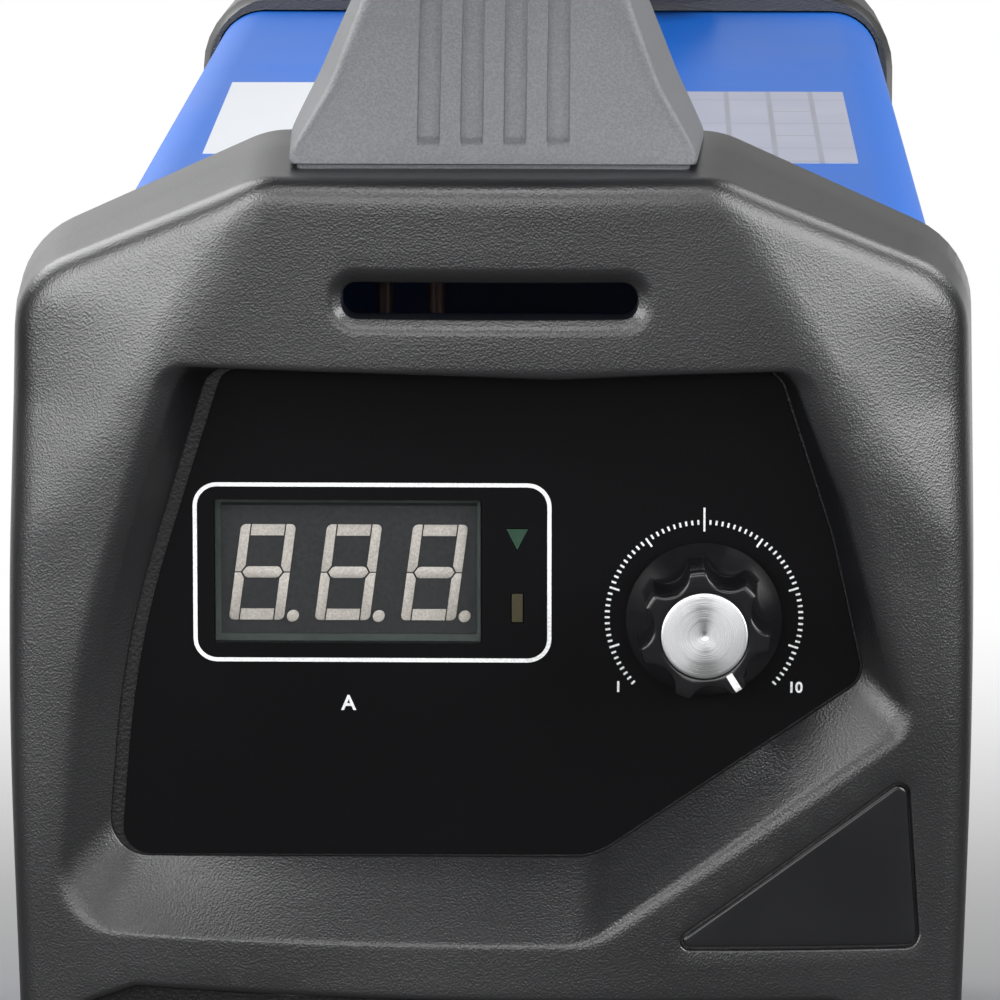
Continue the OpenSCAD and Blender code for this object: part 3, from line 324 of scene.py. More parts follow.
def coat(add, g, relief, depth, metal, gloss):
    """Puts a group's colour, roughness and height on the material's shader."""
    bump = add("ShaderNodeBump", {"Height": g.outputs["Height"], "Strength": relief, "Distance": depth})
    surface(add, {"Base Color": g.outputs["Colour"], "Roughness": g.outputs["Roughness"], "Metallic": metal,
                  "Normal": bump, "Specular IOR Level": gloss})


def moulded(name, colour, rough=0.5, grain=2400.0, relief=0.25, dust=0.12, gloss=0.5):
    """Injection-moulded plastic with the mould's grain on it."""
    m, add = blank(name)
    dusty = [min(1, c * 2.6 + 0.05) for c in colour]
    g = add("ShaderNodeGroup", node_tree=spark_grain)
    for socket, value in (("Colour", (*colour, 1)), ("Dust", (*dusty, 1)), ("Dust Amount", dust), ("Grain", grain),
                          ("Rough", rough)):
        g.inputs[socket].default_value = value
    coat(add, g, relief, 0.00012, 0.0, gloss)
    return m


bezel_plastic = moulded("bezel_plastic", (0.0046, 0.0048, 0.0060), rough=0.33, grain=3000.0, relief=0.28, dust=0.08,
                        gloss=1.0)

draft, edge_radius = 1.3, 3.8
bezel_corners = [(33.5, 211.3, 14), (71, 194.4, 14), (72.3, 132, 900), (68.6, 11, 6),
                 (-68.6, 11, 6), (-72.3, 132, 900), (-71, 194.4, 14), (-33.5, 211.3, 14)]
silhouette, _ = outline(bezel_corners)
side_in = inward(silhouette)
# The top leans forward more than the sides do
lean = draft + 0.9 * np.clip(-side_in[:, 1], 0, 1)
shell = bmesh.new()
front_edge = silhouette + side_in * (lean + edge_radius)[:, None]
side_edge = silhouette + side_in * lean[:, None]
a = raised(front_edge, face_depth(front_edge))
c = raised(side_edge, face_depth(side_edge))
b = c + np.array([0, edge_radius, 0])
rings = [ring(shell, a)] + [ring(shell, r) for r in bend(a, c, b, 6)]
rings.append(ring(shell, raised(silhouette + side_in * (lean * 0.45)[:, None], 30.0)))
rings.append(ring(shell, raised(silhouette, 43.4)))
rings.append(ring(shell, raised(silhouette + side_in * 0.15, 43.8)))
back_flat = silhouette + side_in * 0.6
rings.append(ring(shell, raised(back_flat, bezel_back)))
bands(shell, rings)

# The lip at the back, round the steel cover
cover_hole, _ = outline([(66.65, 198.35, 9.35), (66.65, 14.05, 1.0), (-60.25, 14.05, 1.0), (-60.25, 198.35, 9.35)])
hole_back = ring(shell, raised(cover_hole, bezel_back))
skin(shell, (back_flat, rings[-1]), [(cover_hole, hole_back)], lambda p: np.full(len(p), bezel_back), 6.0)
band(shell, hole_back, ring(shell, raised(cover_hole, 37.6)))

face_holes = []


def sunk(rim, foot, foot_depth, end_depth, rim_round, foot_round, ledge=0.0):
    """Walls from a rim in the face, over a narrow gentle ledge, down to a foot outline, then straight back."""
    away = -inward(rim)
    start = rim + away * rim_round
    a = raised(start, face_depth(start))
    c = raised(rim, face_depth(rim))
    f = raised(foot, foot_depth)
    side = inward(rim)
    wide = ledge * (0.15 + 0.85 * np.abs(side[:, 0]) + 0.35 * np.clip(-side[:, 1], 0, 1))
    across = (foot - rim) / np.linalg.norm(foot - rim, axis=1)[:, None]
    d = raised(rim + across * wide[:, None], face_depth(rim) + 0.24 * wide)
    run = (f - d) / np.linalg.norm(f - d, axis=1)[:, None]
    b = d + run * (0.9 if ledge else rim_round)
    loops = [ring(shell, a)]
    if ledge:
        loops += [ring(shell, r) for r in bend(a, c, (c + d) / 2, 4) + bend((c + d) / 2, d, b, 4)]
    else:
        loops += [ring(shell, r) for r in bend(a, c, b, 6)]
    before = f - run * foot_round
    for t in (0.33, 0.66, 1.0):
        loops.append(ring(shell, b + (before - b) * t))
    after = f + np.array([0, foot_round, 0])
    loops += [ring(shell, r) for r in bend(before, f, after, 4)]
    loops.append(ring(shell, raised(foot, end_depth)))
    bands(shell, loops)
    face_holes.append((start, loops[0]))


rim_corners = [(46.1, 181.2, 5), (55.0, 158.2, 80), (62.1, 127.5, 5), (15.5, 96.4, 12), (-64, 96.9, 9),
               (-60.8, 138, 140), (-47.3, 181.6, 5)]
foot_corners = [(42.2, 180.2, 4), (50.2, 155.5, 60), (54.9, 134.6, 4), (15.4, 107.6, 10), (-56.2, 107.6, 5.5),
                (-53.5, 139.5, 140), (-40.9, 180.2, 4)]
recess_rim, runs = outline(rim_corners)
recess_foot, _ = outline(foot_corners, runs)
sunk(recess_rim, recess_foot, 12.0, 12.8, 0.8, 0.25, ledge=2.4)
lower_rim, runs = outline([(50, 87.4, 3), (61, 83, 5), (59, 21, 7), (-59, 21, 7), (-61.5, 85.3, 5), (-51.8, 89.1, 3)])
lower_foot, _ = outline([(49.2, 87.0, 3), (59.8, 82.3, 4), (57, 23, 5), (-57, 23, 5), (-60.2, 84.6, 4),
                         (-51.2, 88.5, 2)], runs)
sunk(lower_rim, lower_foot, 13.0, 14.5, 1.2, 0.4)
slot_z = 191.5
slot_rim, runs = outline([(23.3, slot_z + 4.3, 3.6), (23.3, slot_z - 4.2, 3.6), (-22.7, slot_z - 4.2, 3.6),
                          (-22.7, slot_z + 4.3, 3.6)], gap=1.0)
slot_foot, _ = outline([(21.5, slot_z + 2.65, 2.2), (21.5, slot_z - 2.6, 2.2), (-21.1, slot_z - 2.6, 2.2),
                        (-21.1, slot_z + 2.65, 2.2)], runs)
sunk(slot_rim, slot_foot, face_depth(slot_foot) + 1.25, 7.5, 0.9, 0.22)
badge_corners = [(60.9, 120.4, 1.3), (62.7, 95.5, 1.5), (26.6, 96.5, 0.9)]
badge_rim, runs = outline(badge_corners, gap=1.2, steps=6)
badge_out = -inward(badge_rim)
badge_gap = badge_rim + badge_out * 0.45
wide = badge_gap + badge_out * 0.35
loops = [ring(shell, r) for r in [raised(wide, face_depth(wide))]
         + bend(raised(wide, face_depth(wide)), raised(badge_gap, face_depth(badge_gap)),
                raised(badge_gap, face_depth(badge_gap) + 0.35), 3)]
loops.append(ring(shell, raised(badge_gap, face_depth(badge_gap) + 1.2)))
inner = badge_rim - badge_out * 1.0
loops.append(ring(shell, raised(inner, face_depth(inner) + 1.2)))
bands(shell, loops)
face_holes.append((wide, loops[0]))

# Lines of points along both facet creases keep them straight and crisp
creases = []
for side in (-1, 1):
    for off in (-1.1, -0.4, 0.3, 1.0):
        line = []
        for z in np.arange(209.5, 152, -1.2):
            root = [x for x in np.arange(28, 72, 0.02) if facet_depth(x, z) >= bow_depth(x)]
            if root:
                line.append((side * (root[0] + off), z))
        creases.append(np.array([p for p in line if np.min(np.linalg.norm(front_edge - p, axis=1)) > 2.0]))
skin(shell, (front_edge, rings[0]), face_holes, face_depth, 2.6, creases)
bezel_front = new_piece("bezel_front", shell, bezel_plastic, sharp=40, front=(0, -1, 0))
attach(bezel_front, "housing")
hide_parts("front_bezel")


# ---------------------------------------------------------------------------
# Badge plate
# A three-cornered plate of glossy black plastic, glued into its own shallow seat. It is bare.
def uneven_group():
    """Patches of two close colours and of two roughnesses, with a fine grain that may be stretched."""
    g, add, given, where = empty_group("uneven_surface", (
        ("Dark", (0.1, 0.1, 0.1, 1)), ("Light", (0.2, 0.2, 0.2, 1)), ("Patches", 30.0), ("Grain", 500.0),
        ("Stretch", (1, 1, 1)), ("Fleck", 0.06), ("Rough Low", 0.3), ("Rough High", 0.4)))
    run = add("ShaderNodeVectorMath", {0: where, 1: given["Stretch"]}, operation="MULTIPLY")
    cloud = add("ShaderNodeTexNoise", {"Vector": where, "Scale": given["Patches"], "Detail": 5.0, "Roughness": 0.6})
    grit = add("ShaderNodeTexNoise", {"Vector": run, "Scale": given["Grain"], "Detail": 4.0, "Roughness": 0.6})
    share = spread(add, cloud, (0.3, 0.7))
    tint = blend(add, share, given["Dark"], given["Light"])
    centred = add("ShaderNodeMath", {0: grit, 1: 0.5}, operation="SUBTRACT")
    swing = add("ShaderNodeMath", {0: centred, 1: given["Fleck"]}, operation="MULTIPLY")
    shade = add("ShaderNodeMath", {0: swing, 1: 4.0, 2: 1.0}, operation="MULTIPLY_ADD")
    final = add("ShaderNodeMix", {0: 1.0, 6: tint, 7: shade}, data_type="RGBA", blend_type="MULTIPLY")
    rough = spread(add, cloud, (0.3, 0.7), (given["Rough Low"], given["Rough High"]))
    add("NodeGroupOutput", {"Colour": final, "Roughness": rough, "Height": grit})
    return g


uneven_surface = uneven_group()


def finish(name, dark, light, rough, patches=30.0, grain=500.0, stretch=(1, 1, 1), fleck=0.06, relief=0.1, metal=0.0,
           gloss=0.5):
    """A finish of two close tones; rough gives its lowest and highest roughness."""
    m, add = blank(name)
    g = add("ShaderNodeGroup", node_tree=uneven_surface)
    for socket, value in (("Dark", (*dark, 1)), ("Light", (*light, 1)), ("Patches", patches), ("Grain", grain),
                          ("Stretch", stretch), ("Fleck", fleck), ("Rough Low", rough[0]), ("Rough High", rough[1])):
        g.inputs[socket].default_value = value
    coat(add, g, relief, 0.0002, metal, gloss)
    return m


badge_gloss = finish("badge_gloss", (0.0085, 0.0087, 0.0100), (0.0115, 0.0117, 0.0132), (0.16, 0.26), patches=60.0,
                     grain=180.0, relief=0.04)
plate = bmesh.new()
top = badge_rim - badge_out * 0.5
a, c = raised(badge_rim, face_depth(badge_rim) + 0.55), raised(badge_rim, face_depth(badge_rim) + 0.12)
b = raised(top, face_depth(top) + 0.12)
loops = [ring(plate, raised(badge_rim, face_depth(badge_rim) + 1.2))]
loops += [ring(plate, r) for r in [a] + bend(a, c, b, 3)]
bands(plate, loops)
skin(plate, (top, loops[-1]), [], lambda p: face_depth(p) + 0.12, 2.0)
badge = new_piece("badge", plate, badge_gloss, front=(0, -1, 0))
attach(badge, "housing")
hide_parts("badge_plate")


# ---------------------------------------------------------------------------
# Control panel and its printed film
# A dark textured plate behind the recess, with a matte black film glued on. White ink is screen-printed on the film.
panel_plastic = moulded("panel_plastic", (0.008, 0.008, 0.009), rough=0.45, grain=1900.0, relief=0.5, dust=0.1,
                        gloss=0.35)
film_black = moulded("film_black", (0.0028, 0.0028, 0.0034), rough=0.5, grain=5200.0, relief=0.08, dust=0.05,
                     gloss=0.07)


def dressed(node, material):
    """Gives a solid its finish."""
    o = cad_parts[node]
    o.data.materials.clear()
    o.data.materials.append(material)


dressed("control_panel", panel_plastic)

film_front, film_thick = 12.2, 0.3
dial_x, dial_z, dial_r = 31.3, 143.4, 14.5
window_left, window_right, window_low, window_top = -40.4, -1.2, 139.35, 160.65
light_x, upper_z, lower_z = 4.0, 155.0, 144.7
film_edge, _ = outline([(41.9, 179.9, 3.7), (49.9, 155.5, 60), (54.6, 134.7, 3.7), (15.3, 107.9, 9.7),
                        (-54.3, 107.75, 4), (-51.6, 139.5, 140), (-38.9, 179.9, 3)])
window_edge, _ = outline([(window_right, window_top, 0.3), (window_right, window_low, 0.3),
                          (window_left, window_low, 0.3), (window_left, window_top, 0.3)], gap=6, steps=3)
upper_light, _ = outline([(light_x - 1.75, upper_z + 1.55, 0.1), (light_x + 1.75, upper_z + 1.55, 0.1),
                          (light_x, upper_z - 2.0, 0.1)], gap=2, steps=2)
lower_light, _ = outline([(light_x + 0.95, lower_z + 2.25, 0.1), (light_x + 0.95, lower_z - 2.25, 0.1),
                          (light_x - 0.95, lower_z - 2.25, 0.1), (light_x - 0.95, lower_z + 2.25, 0.1)], gap=2,
                         steps=2)
round_about = np.arange(40) * -math.pi / 20
shaft_hole = np.stack([dial_x + 3.75 * np.cos(round_about), dial_z + 3.75 * np.sin(round_about)], 1)
film = bmesh.new()
film_inner = film_edge + inward(film_edge) * 0.08
front_ring = ring(film, raised(film_inner, film_front))
side_ring = ring(film, raised(film_edge, film_front + 0.07))
band(film, front_ring, side_ring)
band(film, side_ring, ring(film, raised(film_edge, film_front + film_thick)))
openings = []
for hole in (window_edge, upper_light, lower_light, shaft_hole):
    openings.append((hole, ring(film, raised(hole, film_front))))
    band(film, openings[-1][1], ring(film, raised(hole, film_front + film_thick)))
skin(film, (film_inner, front_ring), openings, lambda p: np.full(len(p), film_front), 7.0)
film_sheet = new_piece("film_sheet", film, film_black, front=(0, -1, 0))
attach(film_sheet, "housing")
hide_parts("panel_overlay")

ink_depth = film_front - 0.03
ink = bmesh.new()


def ink_patch(points):
    ink.faces.new([ink.verts.new(at(x, ink_depth, z)) for x, z in points])


def ink_bar(x0, z0, x1, z1, width):
    d = np.array([x1 - x0, z1 - z0])
    n = np.array([-d[1], d[0]]) / np.linalg.norm(d) * width / 2
    ink_patch([(x0 - n[0], z0 - n[1]), (x1 - n[0], z1 - n[1]), (x1 + n[0], z1 + n[1]), (x0 + n[0], z0 + n[1])])


box_outer, runs = outline([(9.0, 163.2, 3.5), (9.0, 136.6, 3.5), (-43.4, 136.6, 3.5), (-43.4, 163.2, 3.5)], steps=10,
                          gap=6)
box_inner = box_outer + inward(box_outer) * 0.6
for i in range(len(box_outer)):
    j = (i + 1) % len(box_outer)
    ink_patch([box_outer[i], box_outer[j], box_inner[j], box_inner[i]])
for i in range(75):
    turn = math.radians(-133.2 + 3.6 * i)
    inner, outer = (13.0, dial_r) if i % 10 == 7 else (13.8, dial_r)
    if i == 37:
        inner, outer = 12.8, 16.3
    sx, sz = math.sin(turn), math.cos(turn)
    ink_bar(dial_x + inner * sx, dial_z + inner * sz, dial_x + outer * sx, dial_z + outer * sz, 0.3)


def applied(piece):
    """The mesh of a piece as its modifiers leave it."""
    bpy.context.view_layer.update()
    return bpy.data.meshes.new_from_object(piece.evaluated_get(bpy.context.evaluated_depsgraph_get()))


def ink_text(words, x, z, size):
    curve = bpy.data.curves.new("letters", "FONT")
    curve.body, curve.size, curve.align_x, curve.align_y = words, size / 1000, "CENTER", "CENTER"
    curve.offset = 0.00006
    holder = placed("letters", curve)
    mesh = applied(holder)
    mesh.transform(Matrix.Translation(at(x, ink_depth, z)) @ Matrix.Rotation(math.radians(90), 4, "X"))
    ink.from_mesh(mesh)
    bpy.data.objects.remove(holder)


ink_text("1", 18.8, 133.0, 2.2)
ink_text("10", 44.7, 133.0, 2.2)
ink_text("A", -20.7, 130.4, 3.1)
white_ink = moulded("white_ink", (0.74, 0.75, 0.76), rough=0.55, grain=3000.0, relief=0.05, dust=0.0)
printing = new_piece("panel_printing", ink, white_ink, front=(0, -1, 0))
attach(printing, "housing")


# ---------------------------------------------------------------------------
# Display
# Three digits behind a clear grey window: milky segments, unlit, cast into a dark grey face.
window_clear, add = blank("window_clear")
where = add("ShaderNodeTexCoord").outputs["Object"]
haze = add("ShaderNodeTexNoise", {"Vector": where, "Scale": 90.0, "Detail": 5.0})
veil = spread(add, haze, (0.3, 0.7), (0.13, 0.18))
rough = spread(add, haze, (0.3, 0.7), (0.22, 0.34))
surface(add, {"Base Color": (0.03, 0.034, 0.033, 1), "Roughness": rough, "Alpha": veil, "Specular IOR Level": 0.3})
dressed("display_window", window_clear)
dressed("display_module",
        moulded("display_face", (0.034, 0.034, 0.037), rough=0.55, grain=1500.0, relief=0.1, dust=0.2, gloss=0.2))
# A thin seal of greenish clear resin shows round the display, thicker along its lower edge
seal = bmesh.new()
x0, x1, z0, z1 = window_left + 0.2, window_right - 0.2, window_low + 0.15, window_top - 0.15
inner_seal = [(x0 + 0.8, z1 - 0.5), (x1 - 0.5, z1 - 0.5), (x1 - 0.5, z0 + 1.0), (x0 + 0.8, z0 + 1.0)]
rows = [ring(seal, [(x, y, z) for x, z in shape]) for shape, y in (
    ([(x0, z1), (x1, z1), (x1, z0), (x0, z0)], 14.05), ([(x0, z1), (x1, z1), (x1, z0), (x0, z0)], 13.62),
    (inner_seal, 13.75), (inner_seal, 14.05))]
bands(seal, rows + rows[:1])
seal_resin = finish("seal_resin", (0.030, 0.045, 0.040), (0.055, 0.075, 0.068), (0.3, 0.45), patches=140.0,
                    grain=900.0, fleck=0.1)
display_seal = new_piece("display_seal", seal, seal_resin, sharp=20)
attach(display_seal, "housing")
digit_w, digit_h, upright, level_bar, gap = 8.05, 14.2, 1.4, 1.66, 0.2
slant = math.tan(math.radians(7.6))
milky = bmesh.new()


def stroke(points, cx, cz, front=13.9, back=14.08):
    """One milky stroke: a flat face with a slightly rounded edge."""
    points = np.array(points, float)
    middle = points.mean(0)
    away = np.maximum(np.linalg.norm(points - middle, axis=1), 0.2)
    small = middle + (points - middle) * (1 - 0.10 / away)[:, None]
    rows = []
    for shape, y in ((points, back), (points, front + 0.06), (small, front)):
        rows.append([milky.verts.new(at(cx + x + z * slant, y, cz + z)) for x, z in shape])
    band(milky, rows[0], rows[1])
    band(milky, rows[1], rows[2])
    milky.faces.new(rows[2])


def digit(cx, cz):
    w, h, u, b, g = digit_w / 2, digit_h / 2, upright, level_bar / 2, gap / 2
    for side in (-1, 1):
        for end in (-1, 1):
            top = [(w - 0.75 + 0.75 * math.sin(t), h - 0.75 + 0.75 * math.cos(t))
                   for t in np.radians(np.arange(0, 91, 15))]
            shape = [(w - u, h)] + top + [(w, g), (w - u * 0.62, g), (w - u - 0.02, b + 0.15)]
            stroke([(side * x, end * z) for x, z in shape][::side * end], cx, cz)
    for end in (-1, 1):
        stroke([(x, end * z) for x, z in ((-(w - u - gap), h), (w - u - gap, h), (w - u - gap, h - 2 * b),
                                          (-(w - u - gap), h - 2 * b))][::end], cx, cz)
    tip = w - u * 0.62 - gap * 1.2
    stroke([(-tip, 0), (-tip + 0.45, b * 0.8), (-tip + 0.85, b), (tip - 0.85, b), (tip - 0.45, b * 0.8), (tip, 0),
            (tip - 0.45, -b * 0.8), (tip - 0.85, -b), (-tip + 0.85, -b), (-tip + 0.45, -b * 0.8)], cx, cz)
    dot = [(0.87 * math.sin(t), 0.87 * math.cos(t)) for t in np.radians(np.arange(0, 360, 15))]
    stroke(dot, cx + w + 1.35 - h * slant, cz - h + 0.6)


for i in (-1, 0, 1):
    digit(-20.75 + i * 12.6, 149.6)
milky_segment = moulded("milky_segment", (0.70, 0.655, 0.60), rough=0.45, grain=2600.0, relief=0.05, dust=0.0)
digit_faces = new_piece("digit_faces", milky, milky_segment, sharp=50, front=(0, -1, 0))
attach(digit_faces, "housing")
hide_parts("digit_segments")
light_guide = finish("light_guide", (0.012, 0.040, 0.022), (0.016, 0.055, 0.030), (0.3, 0.4), patches=400.0,
                     grain=1800.0)
dressed("indicator_lights", light_guide)
# The lower light is amber: its colour changes half way between the two
guide = light_guide.node_tree
add = nodes_of(guide)
height_of = add("ShaderNodeSeparateXYZ", {0: add("ShaderNodeTexCoord").outputs["Object"]})
upper = add("ShaderNodeMath", {0: height_of.outputs[2], 1: 0.1500}, operation="GREATER_THAN")
group_node = [n for n in guide.nodes if n.type == "GROUP"][0]
shader = [n for n in guide.nodes if n.type == "BSDF_PRINCIPLED"][0]
two_tone = blend(add, upper, (0.035, 0.030, 0.012, 1), group_node.outputs["Colour"])
guide.links.new(two_tone.outputs[2], shader.inputs["Base Color"])


# ---------------------------------------------------------------------------
# Knob
# A black moulded knob with a round skirt and a seven-lobed grip. A turned aluminium disc is pressed into its top.
knob_axis = at(dial_x, 0, dial_z)
pointer = math.radians(148.0)
knob_plastic = moulded("knob_plastic", (0.006, 0.006, 0.007), rough=0.2, grain=2600.0, relief=0.03, dust=0.02)
count = 280
lobes = 7
angle = np.arange(count) * 2 * math.pi / count


def grip_radius(radius, flute):
    """Radius at each angle of the grip's outline, with its lobes and rounded flutes."""
    lobe = 2 * math.pi / lobes
    phi = (angle - pointer) % lobe - lobe / 2
    d, cut = radius + 1.5, 1.5 + flute
    reach = d * np.sin(phi)
    scallop = np.where(np.abs(reach) < cut, d * np.cos(phi) - np.sqrt(np.maximum(cut * cut - reach * reach, 0)),
                       radius + 3.0)
    scallop = np.minimum(scallop, radius + 3.0)
    return radius - np.log(1 + np.exp(-6 * (scallop - radius))) / 6


def knob_loop(bm, y, r):
    y, r = np.broadcast_to(y, count), np.broadcast_to(r, count)
    return [bm.verts.new(at(dial_x + v * math.sin(t), d, dial_z + v * math.cos(t))) for v, d, t in zip(r, y, angle)]


grip = bmesh.new()
skirt_r, cone_front, cone_rise = 11.45, 10.3, 1.0
wall_foot = grip_radius(9.75, 2.1)
cone_end = cone_front - (skirt_r - 0.3 - wall_foot) * cone_rise
loops = [knob_loop(grip, y, r) for y, r in ((11.8, 10.9), (11.8, 11.2), (11.55, skirt_r), (10.9, skirt_r),
                                            (10.55, skirt_r - 0.06), (cone_front, skirt_r - 0.3))]
for share in (0.35, 0.7, 0.92):
    loops.append(knob_loop(grip, cone_front + (cone_end - cone_front) * share,
                           (skirt_r - 0.3) + (wall_foot - skirt_r + 0.3) * share))
loops.append(knob_loop(grip, cone_end - 0.18, wall_foot))
loops.append(knob_loop(grip, cone_end - 0.6, grip_radius(9.74, 2.1)))
for y, r, flute in ((4.0, 9.68, 2.1), (1.0, 9.62, 2.1), (-1.3, 9.56, 2.1), (-1.72, 9.5, 2.08), (-2.0, 9.32, 2.04),
                    (-2.16, 9.05, 1.98), (-2.2, 8.75, 1.9)):
    loops.append(knob_loop(grip, y, grip_radius(r, flute)))
last = grip_radius(8.75, 1.9)
for share in (0.4, 0.75):
    loops.append(knob_loop(grip, -2.2, last + (6.75 - last) * share))
for y, r in ((-2.2, 6.6), (-2.12, 6.42), (-1.9, 6.35), (-1.0, 6.35)):
    loops.append(knob_loop(grip, y, r))
bands(grip, loops)
grip.faces.new(loops[-1])
grip.faces.new(loops[0])
knob_body = new_piece("knob_body", grip, knob_plastic, front=(0, -1, 0))
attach(knob_body, "knob")
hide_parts("knob")

spun, add = blank("spun_aluminium")
where = add("ShaderNodeTexCoord").outputs["Object"]
flat = add("ShaderNodeVectorMath", {0: where, 1: (1, 0, 1)}, operation="MULTIPLY")
radius = add("ShaderNodeVectorMath", {0: flat}, operation="LENGTH")
rings_at = add("ShaderNodeMath", {0: radius, 1: 26000.0}, operation="MULTIPLY")
cut_marks = add("ShaderNodeTexNoise", {"W": rings_at, "Scale": 1.0, "Detail": 2.0}, noise_dimensions="1D")
around = add("ShaderNodeTangent", direction_type="RADIAL", axis="Y")
bump = add("ShaderNodeBump", {"Height": cut_marks, "Strength": 0.25, "Distance": 0.00004})
tone = spread(add, cut_marks, (0.3, 0.7), (0.24, 0.36))
colour = blend(add, cut_marks, (0.70, 0.71, 0.72, 1), (0.88, 0.88, 0.89, 1))
surface(add, {"Base Color": colour, "Metallic": 1.0, "Roughness": tone, "Anisotropic": 0.85, "Tangent": around,
              "Normal": bump})
disc = bmesh.new()
loops = [knob_loop(disc, y, r) for y, r in ((-1.0, 6.3), (-1.95, 6.3), (-2.25, 6.24), (-2.37, 6.1), (-2.4, 5.85),
                                            (-2.4, 3.2), (-2.4, 0.8), (-2.36, 0.45), (-2.3, 0.25))]
bands(disc, loops)
disc.faces.new(loops[-1])
cap = new_piece("knob_disc", disc, spun, front=(0, -1, 0))
# The disc's own centre is its object's origin, so that its turning marks run round it
cap.data.transform(Matrix.Translation(-knob_axis))
cap.location = knob_axis
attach(cap, "knob")
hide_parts("knob_cap")

mark = bmesh.new()
sx, sz = math.sin(pointer), math.cos(pointer)
half_line = 0.5
lines = []
for r, y in ((6.7, -2.24), (8.9, -2.24), (9.3, -2.06), (9.52, -1.72), (9.62, -1.2)):
    lines.append([mark.verts.new(at(dial_x + r * sx + hand * half_line * sz, y,
                                    dial_z + r * sz - hand * half_line * sx)) for hand in (-1, 1)])
for near, far in zip(lines, lines[1:]):
    mark.faces.new((near[0], near[1], far[1], far[0]))
pointer_line = new_piece("knob_pointer", mark, white_ink, front=(0, -1, 0))
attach(pointer_line, "knob")


# ---------------------------------------------------------------------------
# Handle
# One grey moulding, screwed down through the two bezels. Its front foot flares and has four grooves down its face.
handle_plastic = moulded("handle_plastic", (0.108, 0.112, 0.121), rough=0.46, grain=2600.0, relief=0.4, dust=0.16,
                         gloss=0.6)
# Each station: outer point (depth, height), inner point, half widths at both, corner radii at both
stations = [
    ((11.5, 207.6), (42.6, 208.0), 28.2, 29.7, 1.2, 3.0, 1),
    ((11.5, 210.0), (42.7, 210.3), 28.4, 29.8, 1.2, 3.0, 1),
    ((10.9, 210.2), (43.2, 210.5), 29.3, 30.6, 1.2, 3.0, 1),
    ((11.0, 210.7), (43.4, 211.0), 29.5, 30.8, 1.2, 3.0, 1),
    ((11.4, 211.8), (45.0, 212.0), 29.3, 30.6, 1.4, 3.4, 6),
    ((12.2, 213.6), (46.8, 213.6), 28.4, 29.9, 1.7, 3.8, 5),
    ((13.6, 216.0), (49.2, 215.7), 27.0, 28.9, 2.2, 4.4, 5),
    ((16.6, 220.8), (53.8, 219.6), 24.2, 27.0, 2.5, 5.0, 5),
    ((20.4, 226.3), (59.6, 224.4), 22.0, 24.9, 2.6, 5.5, 5),
    ((25.0, 231.8), (65.4, 229.0), 19.9, 22.8, 2.7, 6.0, 5),
    ((30.8, 237.8), (71.6, 232.8), 17.9, 20.8, 3.0, 6.5, 5),
    ((38.0, 244.4), (78.6, 235.2), 16.4, 19.0, 3.5, 6.5, 5),
    ((46.5, 250.4), (86.0, 236.0), 15.4, 17.8, 4.5, 6.5, 5),
    ((56.0, 254.7), (94.0, 236.0), 15.0, 17.2, 5.5, 6.5, 5),
    ((67.0, 256.8), (102.0, 236.0), 15.0, 17.0, 6.0, 6.5, 5),
    ((92.0, 257.0), (120.0, 236.0), 15.0, 17.0, 6.0, 6.5, 8),
    ((170.0, 257.0), (180.0, 236.0), 15.0, 17.0, 6.0, 6.5, 10),
    ((260.0, 257.0), (250.0, 236.0), 15.0, 17.0, 6.0, 6.5, 10),
    ((296.0, 257.0), (274.0, 236.0), 15.1, 17.0, 6.0, 6.5, 6),
    ((309.0, 255.4), (285.0, 236.0), 15.5, 17.3, 5.6, 6.5, 5),
    ((320.0, 250.4), (294.0, 234.0), 16.6, 18.8, 4.8, 6.5, 5),
    ((330.0, 242.4), (302.0, 229.4), 18.8, 21.6, 3.8, 6.0, 5),
    ((340.0, 232.6), (310.5, 223.2), 22.2, 25.2, 2.8, 5.5, 5),
    ((350.0, 222.0), (319.5, 216.2), 26.8, 29.6, 2.4, 5.0, 5),
    ((359.5, 211.8), (328.5, 209.6), 31.6, 33.2, 2.0, 4.0, 5),
    ((366.0, 205.2), (334.0, 204.8), 34.0, 34.8, 1.8, 3.5, 4),
    ((367.4, 202.15), (335.4, 202.15), 34.3, 35.1, 1.8, 3.5, 2),
]
handle_off, handle_top = 0.5, 256.98
groove_x = []
for i in (-1.5, -0.5, 0.5, 1.5):
    m = i * 6.25
    groove_x += [(m - 1.9, 0), (m - 1.68, 0.04), (m - 1.56, 0.3), (m - 1.5, 0.95), (m - 1.3, 1.0), (m, 1.0),
                 (m + 1.3, 1.0), (m + 1.5, 0.95), (m + 1.56, 0.3), (m + 1.68, 0.04), (m + 1.9, 0)]


